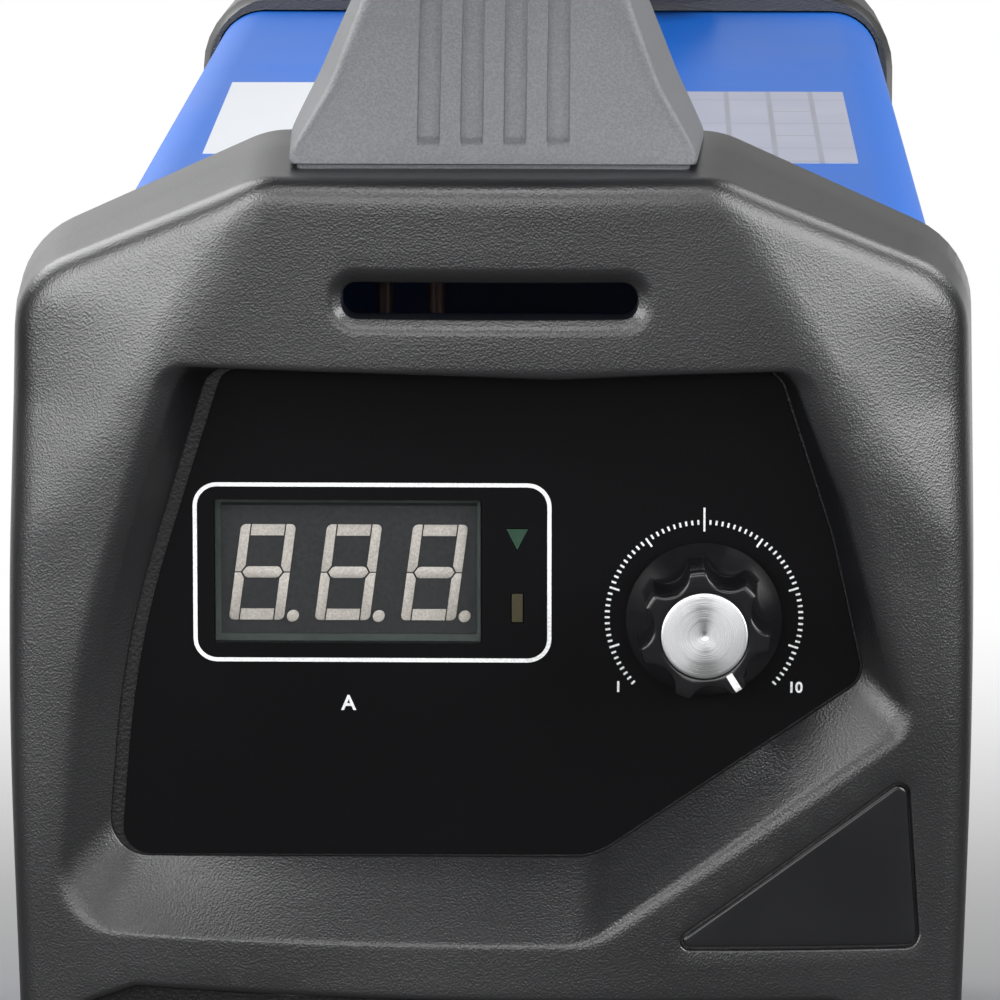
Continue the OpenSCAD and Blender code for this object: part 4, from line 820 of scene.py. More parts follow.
def handle_section(s):
    """One closed section as (x, share of the way from the outer to the inner point in mm)."""
    (oy, oz), (iy, iz), wo, wi, ro, ri, _ = s
    length = math.hypot(iy - oy, iz - oz)
    close = min(1.0, (wo - ro - 0.4) / 11.3)
    face = [(x * close, 0.0, g) for x, g in groove_x]

    def corner(cx, cy, p, q, r, n=6):
        c = np.array([cx, cy])
        u, w = np.array(p) - c, np.array(q) - c
        u, w = u / np.linalg.norm(u), w / np.linalg.norm(w)
        half = math.acos(float(u @ w)) / 2
        cut = r / math.tan(half)
        a, b = c + u * cut, c + w * cut
        return [tuple((1 - t) ** 2 * a + 2 * t * (1 - t) * c + t * t * b) + (0,) for t in np.arange(n + 1) / n]

    right = corner(wo, 0, (0, 0), (wi, length), ro)
    back_right = corner(wi, length, (wo, 0), (0, length), ri)
    back_left = corner(-wi, length, (0, length), (-wo, 0), ri)
    left = corner(-wo, 0, (-wi, length), (0, 0), ro)

    def fill(a, b, n):
        return [tuple(np.array(a[:2]) + (np.array(b[:2]) - np.array(a[:2])) * k / (n + 1)) + (0,)
                for k in range(1, n + 1)]

    flank_right = fill(right[-1], back_right[0], 6)
    flank_left = fill(back_left[-1], left[0], 6)
    under = fill(back_right[-1], back_left[0], 8)
    out = face + right + flank_right + back_right + under + back_left + flank_left + left
    o, d = np.array([oy, oz]), np.array([iy - oy, iz - oz]) / length
    deep = 0.85 * np.clip((oz - 212.9) / 0.8, 0, 1) * np.clip((243.0 - oz) / 2.0, 0, 1) * (oy < 120)
    return [(x + handle_off, *(o + d * (v + g * deep))) for x, v, g in out]


def between(s0, s1, s2, s3, t):
    """Smooth station between s1 and s2."""
    flat = [np.array([*s[0], *s[1], *s[2:6]], float) for s in (s0, s1, s2, s3)]
    m = 0.5 * ((2 * flat[1]) + (flat[2] - flat[0]) * t + (2 * flat[0] - 5 * flat[1] + 4 * flat[2] - flat[3]) * t ** 2
               + (3 * flat[1] - flat[0] - 3 * flat[2] + flat[3]) * t ** 3)
    return ((m[0], m[1]), (m[2], m[3]), m[4], m[5], m[6], m[7], 0)


bar = bmesh.new()
loops = []
for k in range(len(stations) - 1):
    s0, s1, s2, s3 = (stations[min(max(k + j, 0), len(stations) - 1)] for j in (-1, 0, 1, 2))
    n = stations[k + 1][6] if k else 2
    for t in np.arange(n) / n:
        loops.append([bar.verts.new(at(x, y, min(z, handle_top)))
                      for x, y, z in handle_section(between(s0, s1, s2, s3, t))])
loops.append([bar.verts.new(at(*p)) for p in handle_section(stations[-1])])
bands(bar, loops)
bar.faces.new(loops[0])
bar.faces.new(loops[-1])
carry_handle = new_piece("carry_handle", bar, handle_plastic, sharp=38)
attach(carry_handle, "housing")
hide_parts("handle")


# ---------------------------------------------------------------------------
# Steel cover
# One sheet of 1 mm steel, slotted, bent to a U and powder coated blue. It slides between the two bezels.
def evened(piece, sharp):
    """Smooth shading that leaves the flat areas flat, as they are on a moulding or a folded sheet."""
    piece.data.polygons.foreach_set("use_smooth", [True] * len(piece.data.polygons))
    piece.data.set_sharp_from_angle(angle=math.radians(sharp))
    weighted = piece.modifiers.new("evened", "WEIGHTED_NORMAL")
    weighted.keep_sharp = True
    mesh = applied(piece)
    piece.modifiers.clear()
    piece.data = mesh


blue_paint = finish("blue_paint", (0.003, 0.135, 0.62), (0.004, 0.155, 0.68), (0.40, 0.48), patches=14.0, grain=420.0,
                    fleck=0.02, relief=0.12, gloss=0.3)
low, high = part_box("top_cover")
cover_x0, cover_x1 = low.x * 1000, high.x * 1000
cover_top, cover_low = high.z * 1000, low.z * 1000
cover_y0, cover_y1 = low.y * 1000 - depth_zero, high.y * 1000 - depth_zero
cover_bend = 9.0


def cover_profile(inset):
    r = cover_bend - inset
    pts = [(cover_x0 + inset, cover_low)]
    for cx, start in ((cover_x0 + cover_bend, 180), (cover_x1 - cover_bend, 90)):
        for k in range(17):
            t = math.radians(start - 90 * k / 16)
            pts.append((cx + r * math.cos(t), cover_top - cover_bend + r * math.sin(t)))
    pts.append((cover_x1 - inset, cover_low))
    return pts


sheet = bmesh.new()
section = cover_profile(0.0) + cover_profile(1.0)[::-1]
ends = [ring(sheet, [(x, y, z) for x, z in section]) for y in (cover_y0, cover_y1)]
band(sheet, ends[0], ends[1])
half_n = len(section) // 2
for e in ends:
    for k in range(half_n - 1):
        sheet.faces.new((e[k], e[k + 1], e[-2 - k], e[-1 - k]))
cover_sheet = new_piece("cover_sheet", sheet, blue_paint, sharp=30)
cutters = bmesh.new()
for i in range(15):
    for z in (76, 148):
        loop = []
        for cz, start in ((z + 29, 0), (z - 29, 180)):
            for k in range(9):
                t = math.radians(start + 180 * k / 8)
                loop.append((118 + i * 12 + 1.7 * math.cos(t), cz + 1.7 * math.sin(t)))
        a, b = ([cutters.verts.new(at(x, py, pz)) for py, pz in loop] for x in (cover_x0 - 20, cover_x1 + 20))
        band(cutters, a, b)
        cutters.faces.new(a)
        cutters.faces.new(b)
bmesh.ops.recalc_face_normals(cutters, faces=cutters.faces)
punches = placed("slot_punches", mesh_from("slot_punches", cutters))
cut = cover_sheet.modifiers.new("slots", "BOOLEAN")
cut.object, cut.operation, cut.solver = punches, "DIFFERENCE", "EXACT"
edge = cover_sheet.modifiers.new("edge", "BEVEL")
edge.width, edge.segments, edge.limit_method, edge.angle_limit = 0.00022, 2, "ANGLE", math.radians(50)
punched = applied(cover_sheet)
cover_sheet.modifiers.clear()
cover_sheet.data = punched
bpy.data.objects.remove(punches)
evened(cover_sheet, 30)
cover_sheet.data.materials.clear()
cover_sheet.data.materials.append(blue_paint)
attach(cover_sheet, "housing")
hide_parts("top_cover")


# ---------------------------------------------------------------------------
# Labels
# Two printed film labels stuck to the cover's top. One is plain, one carries an empty ruled table.
label_film, add = blank("label_film")
where = add("ShaderNodeTexCoord").outputs["Object"]
turned_round = add("ShaderNodeMapping", {"Vector": where, "Rotation": (0, 0, math.radians(90))})
table = add("ShaderNodeTexBrick", {"Vector": turned_round, "Scale": 1.0, "Color1": (0.43, 0.45, 0.56, 1),
                                   "Color2": (0.40, 0.42, 0.53, 1), "Mortar": (0.25, 0.26, 0.31, 1),
                                   "Mortar Size": 0.0006, "Mortar Smooth": 0.6, "Brick Width": 0.034,
                                   "Row Height": 0.0072}, offset=0.0, squash=0.5, squash_frequency=3)
place = add("ShaderNodeSeparateXYZ", {0: where})
right_one = add("ShaderNodeMath", {0: place.outputs[0], 1: -0.0045}, operation="GREATER_THAN")
tone = add("ShaderNodeTexNoise", {"Vector": where, "Scale": 40.0, "Detail": 3.0})
white = blend(add, tone, (0.71, 0.74, 0.79, 1), (0.78, 0.80, 0.84, 1))
weak = spread(add, tone, (0.35, 0.7), (0.15, 0.6))
worn_table = blend(add, weak, table, (0.42, 0.44, 0.55, 1))
mixed = blend(add, right_one, white, worn_table)
sheen = spread(add, tone, (0.3, 0.7), (0.34, 0.46))
surface(add, {"Base Color": mixed, "Roughness": sheen})
dressed("cover_labels", label_film)


# ---------------------------------------------------------------------------
# Rear bezel
# The frame round the back, moulded like the front one, with a round grille for the fan.
def softened(node, name, material, body, round_off=0.5, sharp=32, parts=2):
    """A piece in the shape of its solid, with its edges rounded as the real moulding's or casting's are."""
    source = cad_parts[node]
    mesh = source.data.copy()
    piece = placed(name, mesh)
    bm = bmesh.new()
    bm.from_mesh(mesh)
    bmesh.ops.remove_doubles(bm, verts=bm.verts, dist=2e-6)
    bmesh.ops.dissolve_limit(bm, angle_limit=math.radians(0.5), verts=bm.verts, edges=bm.edges)
    bm.to_mesh(mesh)
    bm.free()
    mesh.materials.clear()
    mesh.materials.append(material)
    if round_off:
        edge = piece.modifiers.new("edge", "BEVEL")
        edge.width, edge.segments = round_off / 1000, parts
        edge.limit_method, edge.angle_limit = "ANGLE", math.radians(sharp)
        edge.miter_outer = "MITER_ARC"
        piece.data = applied(piece)
        piece.modifiers.clear()
    evened(piece, sharp)
    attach(piece, body)
    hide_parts(node)


softened("rear_bezel", "bezel_rear", bezel_plastic, "housing", round_off=0.35)


# ---------------------------------------------------------------------------
# Grip insert
# A dark strip pressed into the channel under the grip, with ribs across it for the fingers.
insert = bmesh.new()
half_w, y0, y1, under = 13.6, 92.4, 285.4, 235.9
rows = []
steps = int(y1 - y0)
for k in range(steps + 1):
    y = y0 + (y1 - y0) * k / steps
    rib = 0.55 * max(0.0, math.cos(2 * math.pi * (y - y0) / 6.0)) if 4 < y - y0 < y1 - y0 - 4 else 0.0
    low = under - rib
    rows.append(ring(insert, [(-half_w, y, 237.5), (-half_w, y, under + 0.5), (-half_w + 0.5, y, under),
                              (-half_w + 2.2, y, under), (-half_w + 3.0, y, low), (half_w - 3.0, y, low),
                              (half_w - 2.2, y, under), (half_w - 0.5, y, under), (half_w, y, under + 0.5),
                              (half_w, y, 237.5)]))
bands(insert, rows)
insert.faces.new(rows[0])
insert.faces.new(rows[-1])
grip_plastic = moulded("grip_plastic", (0.022, 0.022, 0.024), rough=0.55, grain=2000.0, relief=0.4, dust=0.12)
grip_insert = new_piece("grip_insert", insert, grip_plastic, sharp=50)
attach(grip_insert, "housing")
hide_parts("handle_insert")


# ---------------------------------------------------------------------------
# Screws
# Zinc-plated pan heads with a cross recess hold the cover, the fan and the feet. Those out of sight are plain.
zinc = finish("zinc_plate", (0.46, 0.46, 0.44), (0.62, 0.63, 0.66), (0.26, 0.42), patches=260.0, grain=2200.0,
              fleck=0.08, relief=0.12, metal=1.0)
black_zinc = finish("black_zinc", (0.012, 0.012, 0.013), (0.025, 0.025, 0.027), (0.35, 0.5), patches=260.0,
                    grain=2000.0, relief=0.1, metal=1.0)


def about(centre, axis, along, u, w):
    """The point at along, u and w from centre, for an axis along x, y or z."""
    off = {"x": (along, u, w), "y": (u, along, w), "z": (u, w, along)}[axis]
    return at(centre[0] + off[0], centre[1] + off[1], centre[2] + off[2])


def turned(bm, levels, centre, axis="y", count=48, wave=None, ends=(True, True)):
    """Rings through (distance along the axis, radius) levels, about an axis through centre."""
    loops = []
    for level in levels:
        a, r = level[:2]
        loop = []
        for i in range(count):
            t = 2 * math.pi * i / count
            v = r + (wave(t) * level[2] if wave and len(level) > 2 else 0)
            loop.append(bm.verts.new(about(centre, axis, a, v * math.cos(t), v * math.sin(t))))
        loops.append(loop)
    bands(bm, loops)
    if ends[0]:
        bm.faces.new(loops[0])
    if ends[1]:
        bm.faces.new(loops[-1])
    return loops


def bevelled_nut(bm, start, end, flats, centre, axis="y", bore=0.0, turn=0.0):
    """Six-sided nut with chamfered corners, seen as a ring from start to end."""
    rows = []
    for a, share in ((start, 0.0), (start, 1.0), (start + 0.35, 2.0), (end - 0.35, 2.0), (end, 1.0), (end, 0.0)):
        row = []
        for i in range(48):
            t = 2 * math.pi * i / 48
            side = (t + turn) % (math.pi / 3) - math.pi / 6
            hexagon = flats / 2 / math.cos(side)
            v = {0.0: max(bore, 0.4), 1.0: min(hexagon, flats / 2), 2.0: hexagon}[share]
            row.append(bm.verts.new(about(centre, axis, a, v * math.cos(t), v * math.sin(t))))
        rows.append(row)
    bands(bm, rows + rows[:1])


def cross_head():
    """One pan head of radius 1 and height 0.56 with a cross recess, along +Z."""
    bm = bmesh.new()
    loops = []
    for z, r in ((0.0, 0.96), (0.06, 1.0), (0.2, 1.0), (0.33, 0.95), (0.45, 0.82), (0.53, 0.6), (0.56, 0.35)):
        loops.append([bm.verts.new((r * math.cos(t), r * math.sin(t), z)) for t in np.arange(40) * 2 * math.pi / 40])
    bands(bm, loops)
    bm.faces.new(loops[0])
    bm.faces.new(loops[-1])
    bmesh.ops.recalc_face_normals(bm, faces=bm.faces)
    holder = placed("pan_head", mesh_from("pan_head", bm))
    cut = bmesh.new()
    wide, thin = 0.52, 0.13
    for top, z in ((1.0, 0.7), (0.45, 0.18)):
        w, n = wide * top, thin * (0.5 + 0.5 * top)
        shape = [(w, n), (n, n), (n, w), (-n, w), (-n, n), (-w, n), (-w, -n), (-n, -n), (-n, -w), (n, -w), (n, -n),
                 (w, -n)]
        row = [cut.verts.new((x, y, z)) for x, y in shape]
        if top == 1.0:
            upper_row = row
        cut.faces.new(row)
    band(cut, upper_row, row)
    bmesh.ops.recalc_face_normals(cut, faces=cut.faces)
    bit = placed("driver_bit", mesh_from("driver_bit", cut))
    sunk_in = holder.modifiers.new("recess", "BOOLEAN")
    sunk_in.object, sunk_in.operation, sunk_in.solver = bit, "DIFFERENCE", "EXACT"
    mesh = applied(holder)
    bpy.data.objects.remove(holder)
    bpy.data.objects.remove(bit)
    return mesh


pan_head = cross_head()


def add_head(bm, place, outward, radius, height, turn):
    """Sets one pan head at a place, facing outward."""
    mesh = pan_head.copy()
    mesh.transform(Matrix.Translation(at(*place)) @ Vector(outward).to_track_quat("Z", "Y").to_matrix().to_4x4()
                   @ Matrix.Rotation(turn, 4, "Z") @ Matrix.Diagonal((radius / 1000, radius / 1000, height / 560, 1)))
    bm.from_mesh(mesh)
    bpy.data.meshes.remove(mesh)


def screw_piece(name, node, bm):
    piece = new_piece(name, bm, zinc, sharp=38)
    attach(piece, "housing")
    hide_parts(node)


# The cover and everything behind it sit this far to the right of the front bezel's middle
shift, rear_wall = 3.2, 381.0
fan_z, fan_pitch = 74, 41.25
bm = bmesh.new()
for i, y in enumerate((60, 195, 330)):
    for side in (-1, 1):
        x = shift + side * 63.1
        add_head(bm, (x + side * 0.02, y, 22), (side, 0, 0), 3.4, 1.9, 0.5 + i * 1.1 + side)
        turned(bm, [(0.3, 1.5), (-6.2, 1.5), (-7.0, 0.8)] if side > 0 else [(-0.3, 1.5), (6.2, 1.5), (7.0, 0.8)],
               (x, y, 22), "x", 16)
screw_piece("cover_screw_set", "cover_screws", bm)
bm = bmesh.new()
for i, (sx, sz) in enumerate(((-1, -1), (-1, 1), (1, -1), (1, 1))):
    x, z = shift + sx * fan_pitch, fan_z + sz * fan_pitch
    add_head(bm, (x, rear_wall + 0.02, z), (0, 1, 0), 3.6, 2.0, 0.3 + i * 0.9)
    turned(bm, [(0.3, 2.0), (-32.4, 2.0), (-33.0, 1.5)], (x, rear_wall, z), "y", 16)
    bevelled_nut(bm, 349.85, 352.9, 7.0, (x, 0, z), bore=1.95)
screw_piece("fan_screw_set", "fan_screws", bm)
feet_at = [(x, y) for x in (-41, 47) for y in (62, 328)]
bm = bmesh.new()
for i, (x, y) in enumerate(feet_at):
    add_head(bm, (x, y, 6.3), (0, 0, -1), 4.0, 2.6, 0.2 + i)
    turned(bm, [(6.0, 2.0), (17.6, 2.0), (18.0, 1.6)], (x, y, 0), "z", 16)
    bevelled_nut(bm, 13.25, 16.35, 6.9, (x, y, 0), "z", bore=2.0)
screw_piece("foot_screw_set", "foot_screws", bm)
for node in ("panel_screws", "socket_panel_screws", "bezel_screws", "potentiometer", "pot_shaft", "pot_nut"):
    dressed(node, zinc)
dressed("handle_screws", black_zinc)


# ---------------------------------------------------------------------------
# Base tray and feet
# A folded steel tray in dark paint stands on four turned rubber feet, each screwed up from below.
tray_paint = finish("tray_paint", (0.022, 0.022, 0.024), (0.030, 0.030, 0.033), (0.42, 0.55), patches=20.0,
                    grain=900.0, relief=0.25)
softened("base_tray", "tray_sheet", tray_paint, "housing", round_off=0.25)
rubber = finish("foot_rubber", (0.012, 0.012, 0.012), (0.024, 0.023, 0.022), (0.7, 0.85), patches=120.0, grain=1300.0,
                fleck=0.12, relief=0.3, gloss=0.3)
bm = bmesh.new()
for x, y in feet_at:
    loops = turned(bm, [(6.5, 2.4), (6.5, 4.6), (6.3, 5.0), (0.6, 5.0), (0.15, 5.3), (0.0, 5.9), (0.0, 8.1),
                        (0.25, 8.6), (2.4, 8.9), (3.0, 9.5), (3.5, 9.95), (11.2, 10.0), (11.75, 9.7), (11.95, 9.2),
                        (11.95, 2.4)], (x, y, 0), "z", 56, ends=(False, False))
    band(bm, loops[-1], loops[0])
rubber_feet = new_piece("rubber_feet", bm, rubber, sharp=45)
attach(rubber_feet, "housing")
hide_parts("feet")


# ---------------------------------------------------------------------------
# Output sockets
# Two twist-lock sockets sit in a louvred plate: black bodies with a knurled collar, and brass contacts inside.
socket_black = moulded("socket_black", (0.012, 0.012, 0.013), rough=0.36, grain=2600.0, relief=0.12, dust=0.05)
softened("socket_panel", "socket_plate", panel_plastic, "housing", round_off=0.35)


def knurl(t):
    return max(0.0, math.cos(24 * t)) ** 0.5


for side, node in ((-1, "socket_plus"), (1, "socket_minus")):
    bm = bmesh.new()
    centre = (side * 30, 0, 54)
    loops = turned(bm, [(32.0, 6.95), (12.2, 6.95), (12.0, 7.15), (12.0, 7.8), (11.7, 8.0), (9.5, 8.0), (9.15, 8.2),
                        (9.0, 8.6), (9.0, 10.5), (9.15, 10.9), (9.5, 11.1), (10.2, 11.15), (10.4, 11.3),
                        (10.45, 13.9), (10.6, 14.4, 0.3), (10.9, 14.65, 0.35), (13.5, 14.65, 0.35), (13.9, 14.5, 0.2),
                        (13.98, 14.3), (13.98, 11.0), (17.0, 11.0), (32.0, 11.0)], centre, "y", 192, wave=knurl,
                   ends=(False, False))
    band(bm, loops[-1], loops[0])
    bevelled_nut(bm, 17.1, 23.0, 27.0, centre, bore=10.8)
    body = new_piece(node + "_body", bm, socket_black, sharp=32)
    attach(body, "housing")
    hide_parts(node)
brass = finish("machined_brass", (0.60, 0.42, 0.15), (0.74, 0.55, 0.24), (0.22, 0.36), patches=90.0, grain=900.0,
               stretch=(1, 6, 1), relief=0.12, metal=1.0)
for node in ("contact_plus", "contact_minus"):
    softened(node, node + "_turned", brass, "housing", round_off=0.2)
dressed("socket_nuts", brass)
dressed("polarity_marks", white_ink)


# ---------------------------------------------------------------------------
# Fan
# A 92 mm fan behind the round grille: a black frame with four struts and a hub with seven twisted blades.
fan_black = moulded("fan_black", (0.015, 0.015, 0.017), rough=0.42, grain=2200.0, relief=0.15, dust=0.16)
softened("fan_frame", "fan_housing", fan_black, "housing", round_off=0.4)
rotor = bmesh.new()
fan_front, fan_axis = 353.0, (shift, 0, fan_z)
turned(rotor, [(356.5, 16.4), (356.5, 17.6), (356.9, 18.0), (375.0, 18.0), (376.0, 17.6), (376.5, 16.6), (376.5, 4.0),
               (376.3, 2.0)], fan_axis, "y", 72, ends=(False, True))
turned(rotor, [(356.1, 1.5), (376.0, 1.5)], fan_axis, "y", 20)
for i in range(7):
    root_at = 2 * math.pi * i / 7
    front, back = [], []
    for j in range(9):
        r = 17.2 + (41.6 - 17.2) * j / 8
        pitch = math.radians(52 - 20 * j / 8)
        chord = 15.0 + 5.5 * j / 8
        for side, rows in ((1, front), (-1, back)):
            row = []
            for k in range(9):
                chordwise = (k / 8 - 0.5) * chord
                camber = 1.2 * (1 - (2 * k / 8 - 1) ** 2)
                thick = side * 0.65 * math.sqrt(max(0.02, 1 - (2 * k / 8 - 1) ** 4))
                along = chordwise * math.cos(pitch) - (camber + thick) * math.sin(pitch)
                across = chordwise * math.sin(pitch) + (camber + thick) * math.cos(pitch)
                turn = root_at + along / r
                row.append(rotor.verts.new(at(shift + r * math.sin(turn), fan_front + 13.5 + across * 0.86,
                                              fan_z + r * math.cos(turn))))
            rows.append(row)
    for rows in (front, back):
        for j in range(8):
            for k in range(8):
                rotor.faces.new((rows[j][k], rows[j][k + 1], rows[j + 1][k + 1], rows[j + 1][k]))
    for j in range(8):
        for k in (0, 8):
            rotor.faces.new((front[j][k], front[j + 1][k], back[j + 1][k], back[j][k]))
    for j in (0, 8):
        for k in range(8):
            rotor.faces.new((front[j][k], front[j][k + 1], back[j][k + 1], back[j][k]))
fan_blades = new_piece("fan_blades", rotor, fan_black, sharp=40)
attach(fan_blades, "fan")
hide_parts("fan_rotor")


# ---------------------------------------------------------------------------
# Mains switch
# A black rocker switch snapped into the rear wall. Its two faces carry a white I and a white O.
switch_x, fittings_z, pivot = shift - 26, 165.0, 378.0
softened("switch_body", "switch_frame", socket_black, "housing", round_off=0.35)
softened("switch_rocker", "switch_key", moulded("rocker_gloss", (0.010, 0.010, 0.011), rough=0.24, grain=3000.0,
                                                relief=0.04, dust=0.04), "rocker", round_off=0.5,
         sharp=20, parts=3)
marks = bmesh.new()
tilt_rocker = math.radians(12)


def on_rocker(x, along):
    """Point on the rocker's sloping faces, so far along it from the pivot, just clear of the plastic."""
    y, z = 4.66 + 2.0 * abs(along) / 11, along
    return at(switch_x + x, pivot + y * math.cos(tilt_rocker) - z * math.sin(tilt_rocker),
              fittings_z + y * math.sin(tilt_rocker) + z * math.cos(tilt_rocker))


marks.faces.new([marks.verts.new(on_rocker(x, z)) for x, z in ((-0.45, 4.2), (0.45, 4.2), (0.45, 8.4), (-0.45, 8.4))])
for i in range(32):
    t0, t1 = 2 * math.pi * i / 32, 2 * math.pi * (i + 1) / 32
    marks.faces.new([marks.verts.new(on_rocker(r * math.cos(t), -6.4 + r * math.sin(t)))
                     for r, t in ((1.45, t0), (2.15, t0), (2.15, t1), (1.45, t1))])
switch_marks = new_piece("switch_marks", marks, white_ink, front=(0, 1, 0))
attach(switch_marks, "rocker")


# ---------------------------------------------------------------------------
# Cable gland
# A nylon gland for the mains cord: a hexagon body, a ribbed dome nut and a soft seal. No cord is fitted.
gland_nylon = moulded("gland_nylon", (0.014, 0.014, 0.015), rough=0.4, grain=2400.0, relief=0.15, dust=0.08)
gland_x = shift + 28
bm = bmesh.new()


def dome_rib(t):
    return max(0.0, math.cos(16 * t)) ** 2


loops = turned(bm, [(370.0, 4.7), (370.0, 8.6), (370.5, 9.0), (381.0, 9.0), (385.2, 9.0), (385.2, 10.8),
                    (385.6, 11.0), (386.6, 10.45, 0.5), (391.8, 10.25, 0.55), (393.2, 9.9, 0.4), (394.6, 9.3),
                    (396.6, 8.5), (398.2, 7.6), (398.9, 6.9), (399.0, 6.3), (398.6, 5.7), (397.8, 5.5), (396.0, 5.45),
                    (395.6, 4.7)], (gland_x, 0, fittings_z), "y", 128, wave=dome_rib, ends=(False, False))
band(bm, loops[-1], loops[0])
bevelled_nut(bm, 381.0, 385.9, 23.8, (gland_x, 0, fittings_z), bore=8.9)
gland = new_piece("gland_body", bm, gland_nylon, sharp=38)
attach(gland, "housing")
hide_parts("cable_gland")
dressed("gland_nut", gland_nylon)


# ---------------------------------------------------------------------------
# Earth stud
# A threaded brass stud with a washer and a nut outside and a nut inside, for the machine's own earth lead.
bm = bmesh.new()
earth_x, earth_z = shift + 28, 138.0
levels = [(373.0, 2.5)]
for k in range(15):
    y = 373.5 + k
    levels += [(y, 2.48 if y < 387.5 else 2.98), (y + 0.5, 2.3 if y < 387.0 else 2.55)]
levels = [v for v in levels if v[0] < 387.4] + [(387.5, 2.5)]
for k in range(9):
    levels += [(387.55 + k * 0.75, 2.6), (387.55 + k * 0.75 + 0.37, 2.98)]
levels = [v for v in levels if v[0] < 394.0] + [(394.1, 2.6), (394.45, 2.2)]
turned(bm, levels, (earth_x, 0, earth_z), "y", 40)
bevelled_nut(bm, 369.0, 373.0, 10.0, (earth_x, 0, earth_z), bore=0.0)
stud = new_piece("earth_bolt", bm, brass, sharp=60)
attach(stud, "housing")
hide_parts("earth_stud")
bm = bmesh.new()
bevelled_nut(bm, 373.0, 378.0, 10.0, (earth_x, 0, earth_z), bore=3.05)
bevelled_nut(bm, 382.3, 387.3, 10.0, (earth_x, 0, earth_z), bore=3.05)
loops = turned(bm, [(381.02, 3.1), (381.02, 5.7), (381.25, 5.95), (382.0, 5.95), (382.2, 5.7), (382.2, 3.1)],
               (earth_x, 0, earth_z), "y", 56, ends=(False, False))
band(bm, loops[-1], loops[0])
screw_piece("earth_nut_set", "earth_nuts", bm)


# ---------------------------------------------------------------------------
# Power electronics
# Inside: boards with their parts, two finned heatsinks, transformer, choke, busbars and wiring.
# They are seen only through the slots.
board_green, add = blank("solder_mask")
where = add("ShaderNodeTexCoord").outputs["Object"]
tracks = add("ShaderNodeTexBrick", {"Vector": where, "Scale": 1.0, "Color1": (0.012, 0.075, 0.030, 1),
                                    "Color2": (0.018, 0.105, 0.045, 1), "Mortar": (0.010, 0.050, 0.022, 1),
                                    "Mortar Size": 0.0005, "Brick Width": 0.013, "Row Height": 0.0035}, offset=0.37)
pads = add("ShaderNodeTexVoronoi", {"Vector": where, "Scale": 260.0}, feature="F1")
tinned = add("ShaderNodeMath", {0: pads, 1: 0.16}, operation="LESS_THAN")
colour = blend(add, tinned, tracks, (0.45, 0.46, 0.46, 1))
rough = spread(add, tinned, to=(0.38, 0.25))
bump = add("ShaderNodeBump", {"Height": tracks.outputs["Fac"], "Strength": 0.2, "Distance": 0.0001})
surface(add, {"Base Color": colour, "Roughness": rough, "Normal": bump})
sink_aluminium = finish("sink_aluminium", (0.52, 0.53, 0.54), (0.66, 0.67, 0.68), (0.3, 0.42), patches=40.0,
                        grain=1400.0, stretch=(1, 0.04, 1), fleck=0.08, relief=0.2, metal=1.0)
ferrite = finish("ferrite", (0.030, 0.030, 0.032), (0.050, 0.050, 0.052), (0.5, 0.65), patches=160.0, grain=1500.0,
                 fleck=0.15, relief=0.2)
choke_powder = finish("choke_powder", (0.16, 0.15, 0.05), (0.24, 0.22, 0.08), (0.4, 0.55), patches=140.0,
                      grain=1200.0, relief=0.1)
component_black = finish("component_black", (0.014, 0.014, 0.014), (0.024, 0.024, 0.024), (0.4, 0.55), patches=200.0,
                         grain=1700.0, relief=0.15)
relay_blue = finish("relay_blue", (0.018, 0.045, 0.17), (0.028, 0.065, 0.22), (0.25, 0.35), patches=150.0,
                    grain=900.0)
bare_copper = finish("bare_copper", (0.50, 0.21, 0.09), (0.66, 0.31, 0.15), (0.28, 0.45), patches=60.0, grain=900.0,
                     stretch=(1, 0.1, 1), relief=0.1, metal=1.0)


def banded(name, low, high, scale, axis, rough, metal=0.0):
    """Material in fine parallel bands, such as wound wire or a ribbon of cores."""
    m, add = blank(name)
    where = add("ShaderNodeTexCoord").outputs["Object"]
    wave = add("ShaderNodeTexWave", {"Vector": where, "Scale": scale, "Distortion": 0.3, "Detail": 1.0},
               bands_direction=axis)
    c = blend(add, wave.outputs["Fac"], (*low, 1), (*high, 1))
    r = spread(add, wave.outputs["Fac"], to=(rough + 0.15, rough))
    bump = add("ShaderNodeBump", {"Height": wave.outputs["Fac"], "Strength": 0.6, "Distance": 0.0006})
    surface(add, {"Base Color": c, "Roughness": r, "Metallic": metal, "Normal": bump})
    return m


wound_copper = banded("wound_copper", (0.16, 0.05, 0.02), (0.50, 0.20, 0.09), 180.0, "Z", 0.3)
ribbon_grey = banded("ribbon_grey", (0.20, 0.20, 0.21), (0.42, 0.42, 0.43), 240.0, "X", 0.45)
sleeve = finish("capacitor_sleeve", (0.010, 0.012, 0.045), (0.014, 0.018, 0.060), (0.22, 0.32), patches=80.0,
                grain=700.0, relief=0.05)
wire_sheath = finish("wire_sheath", (0.075, 0.035, 0.016), (0.105, 0.050, 0.022), (0.35, 0.5), patches=100.0,
                     grain=900.0)
for material, names in ((board_green, ("control_board", "main_board")),
                        (sink_aluminium, ("heatsink_left", "heatsink_right")),
                        (component_black, ("power_transistors", "bridge_rectifier")),
                        (ferrite, ("transformer_core",)), (choke_powder, ("choke_core",)),
                        (wound_copper, ("transformer_winding", "choke_winding")), (brass, ("board_standoffs",)),
                        (relay_blue, ("relay",)), (bare_copper, ("busbars",)), (ribbon_grey, ("ribbon_cable",)),
                        (sleeve, ("capacitors",)), (wire_sheath, ("mains_wires",))):
    for node in names:
        dressed(node, material)


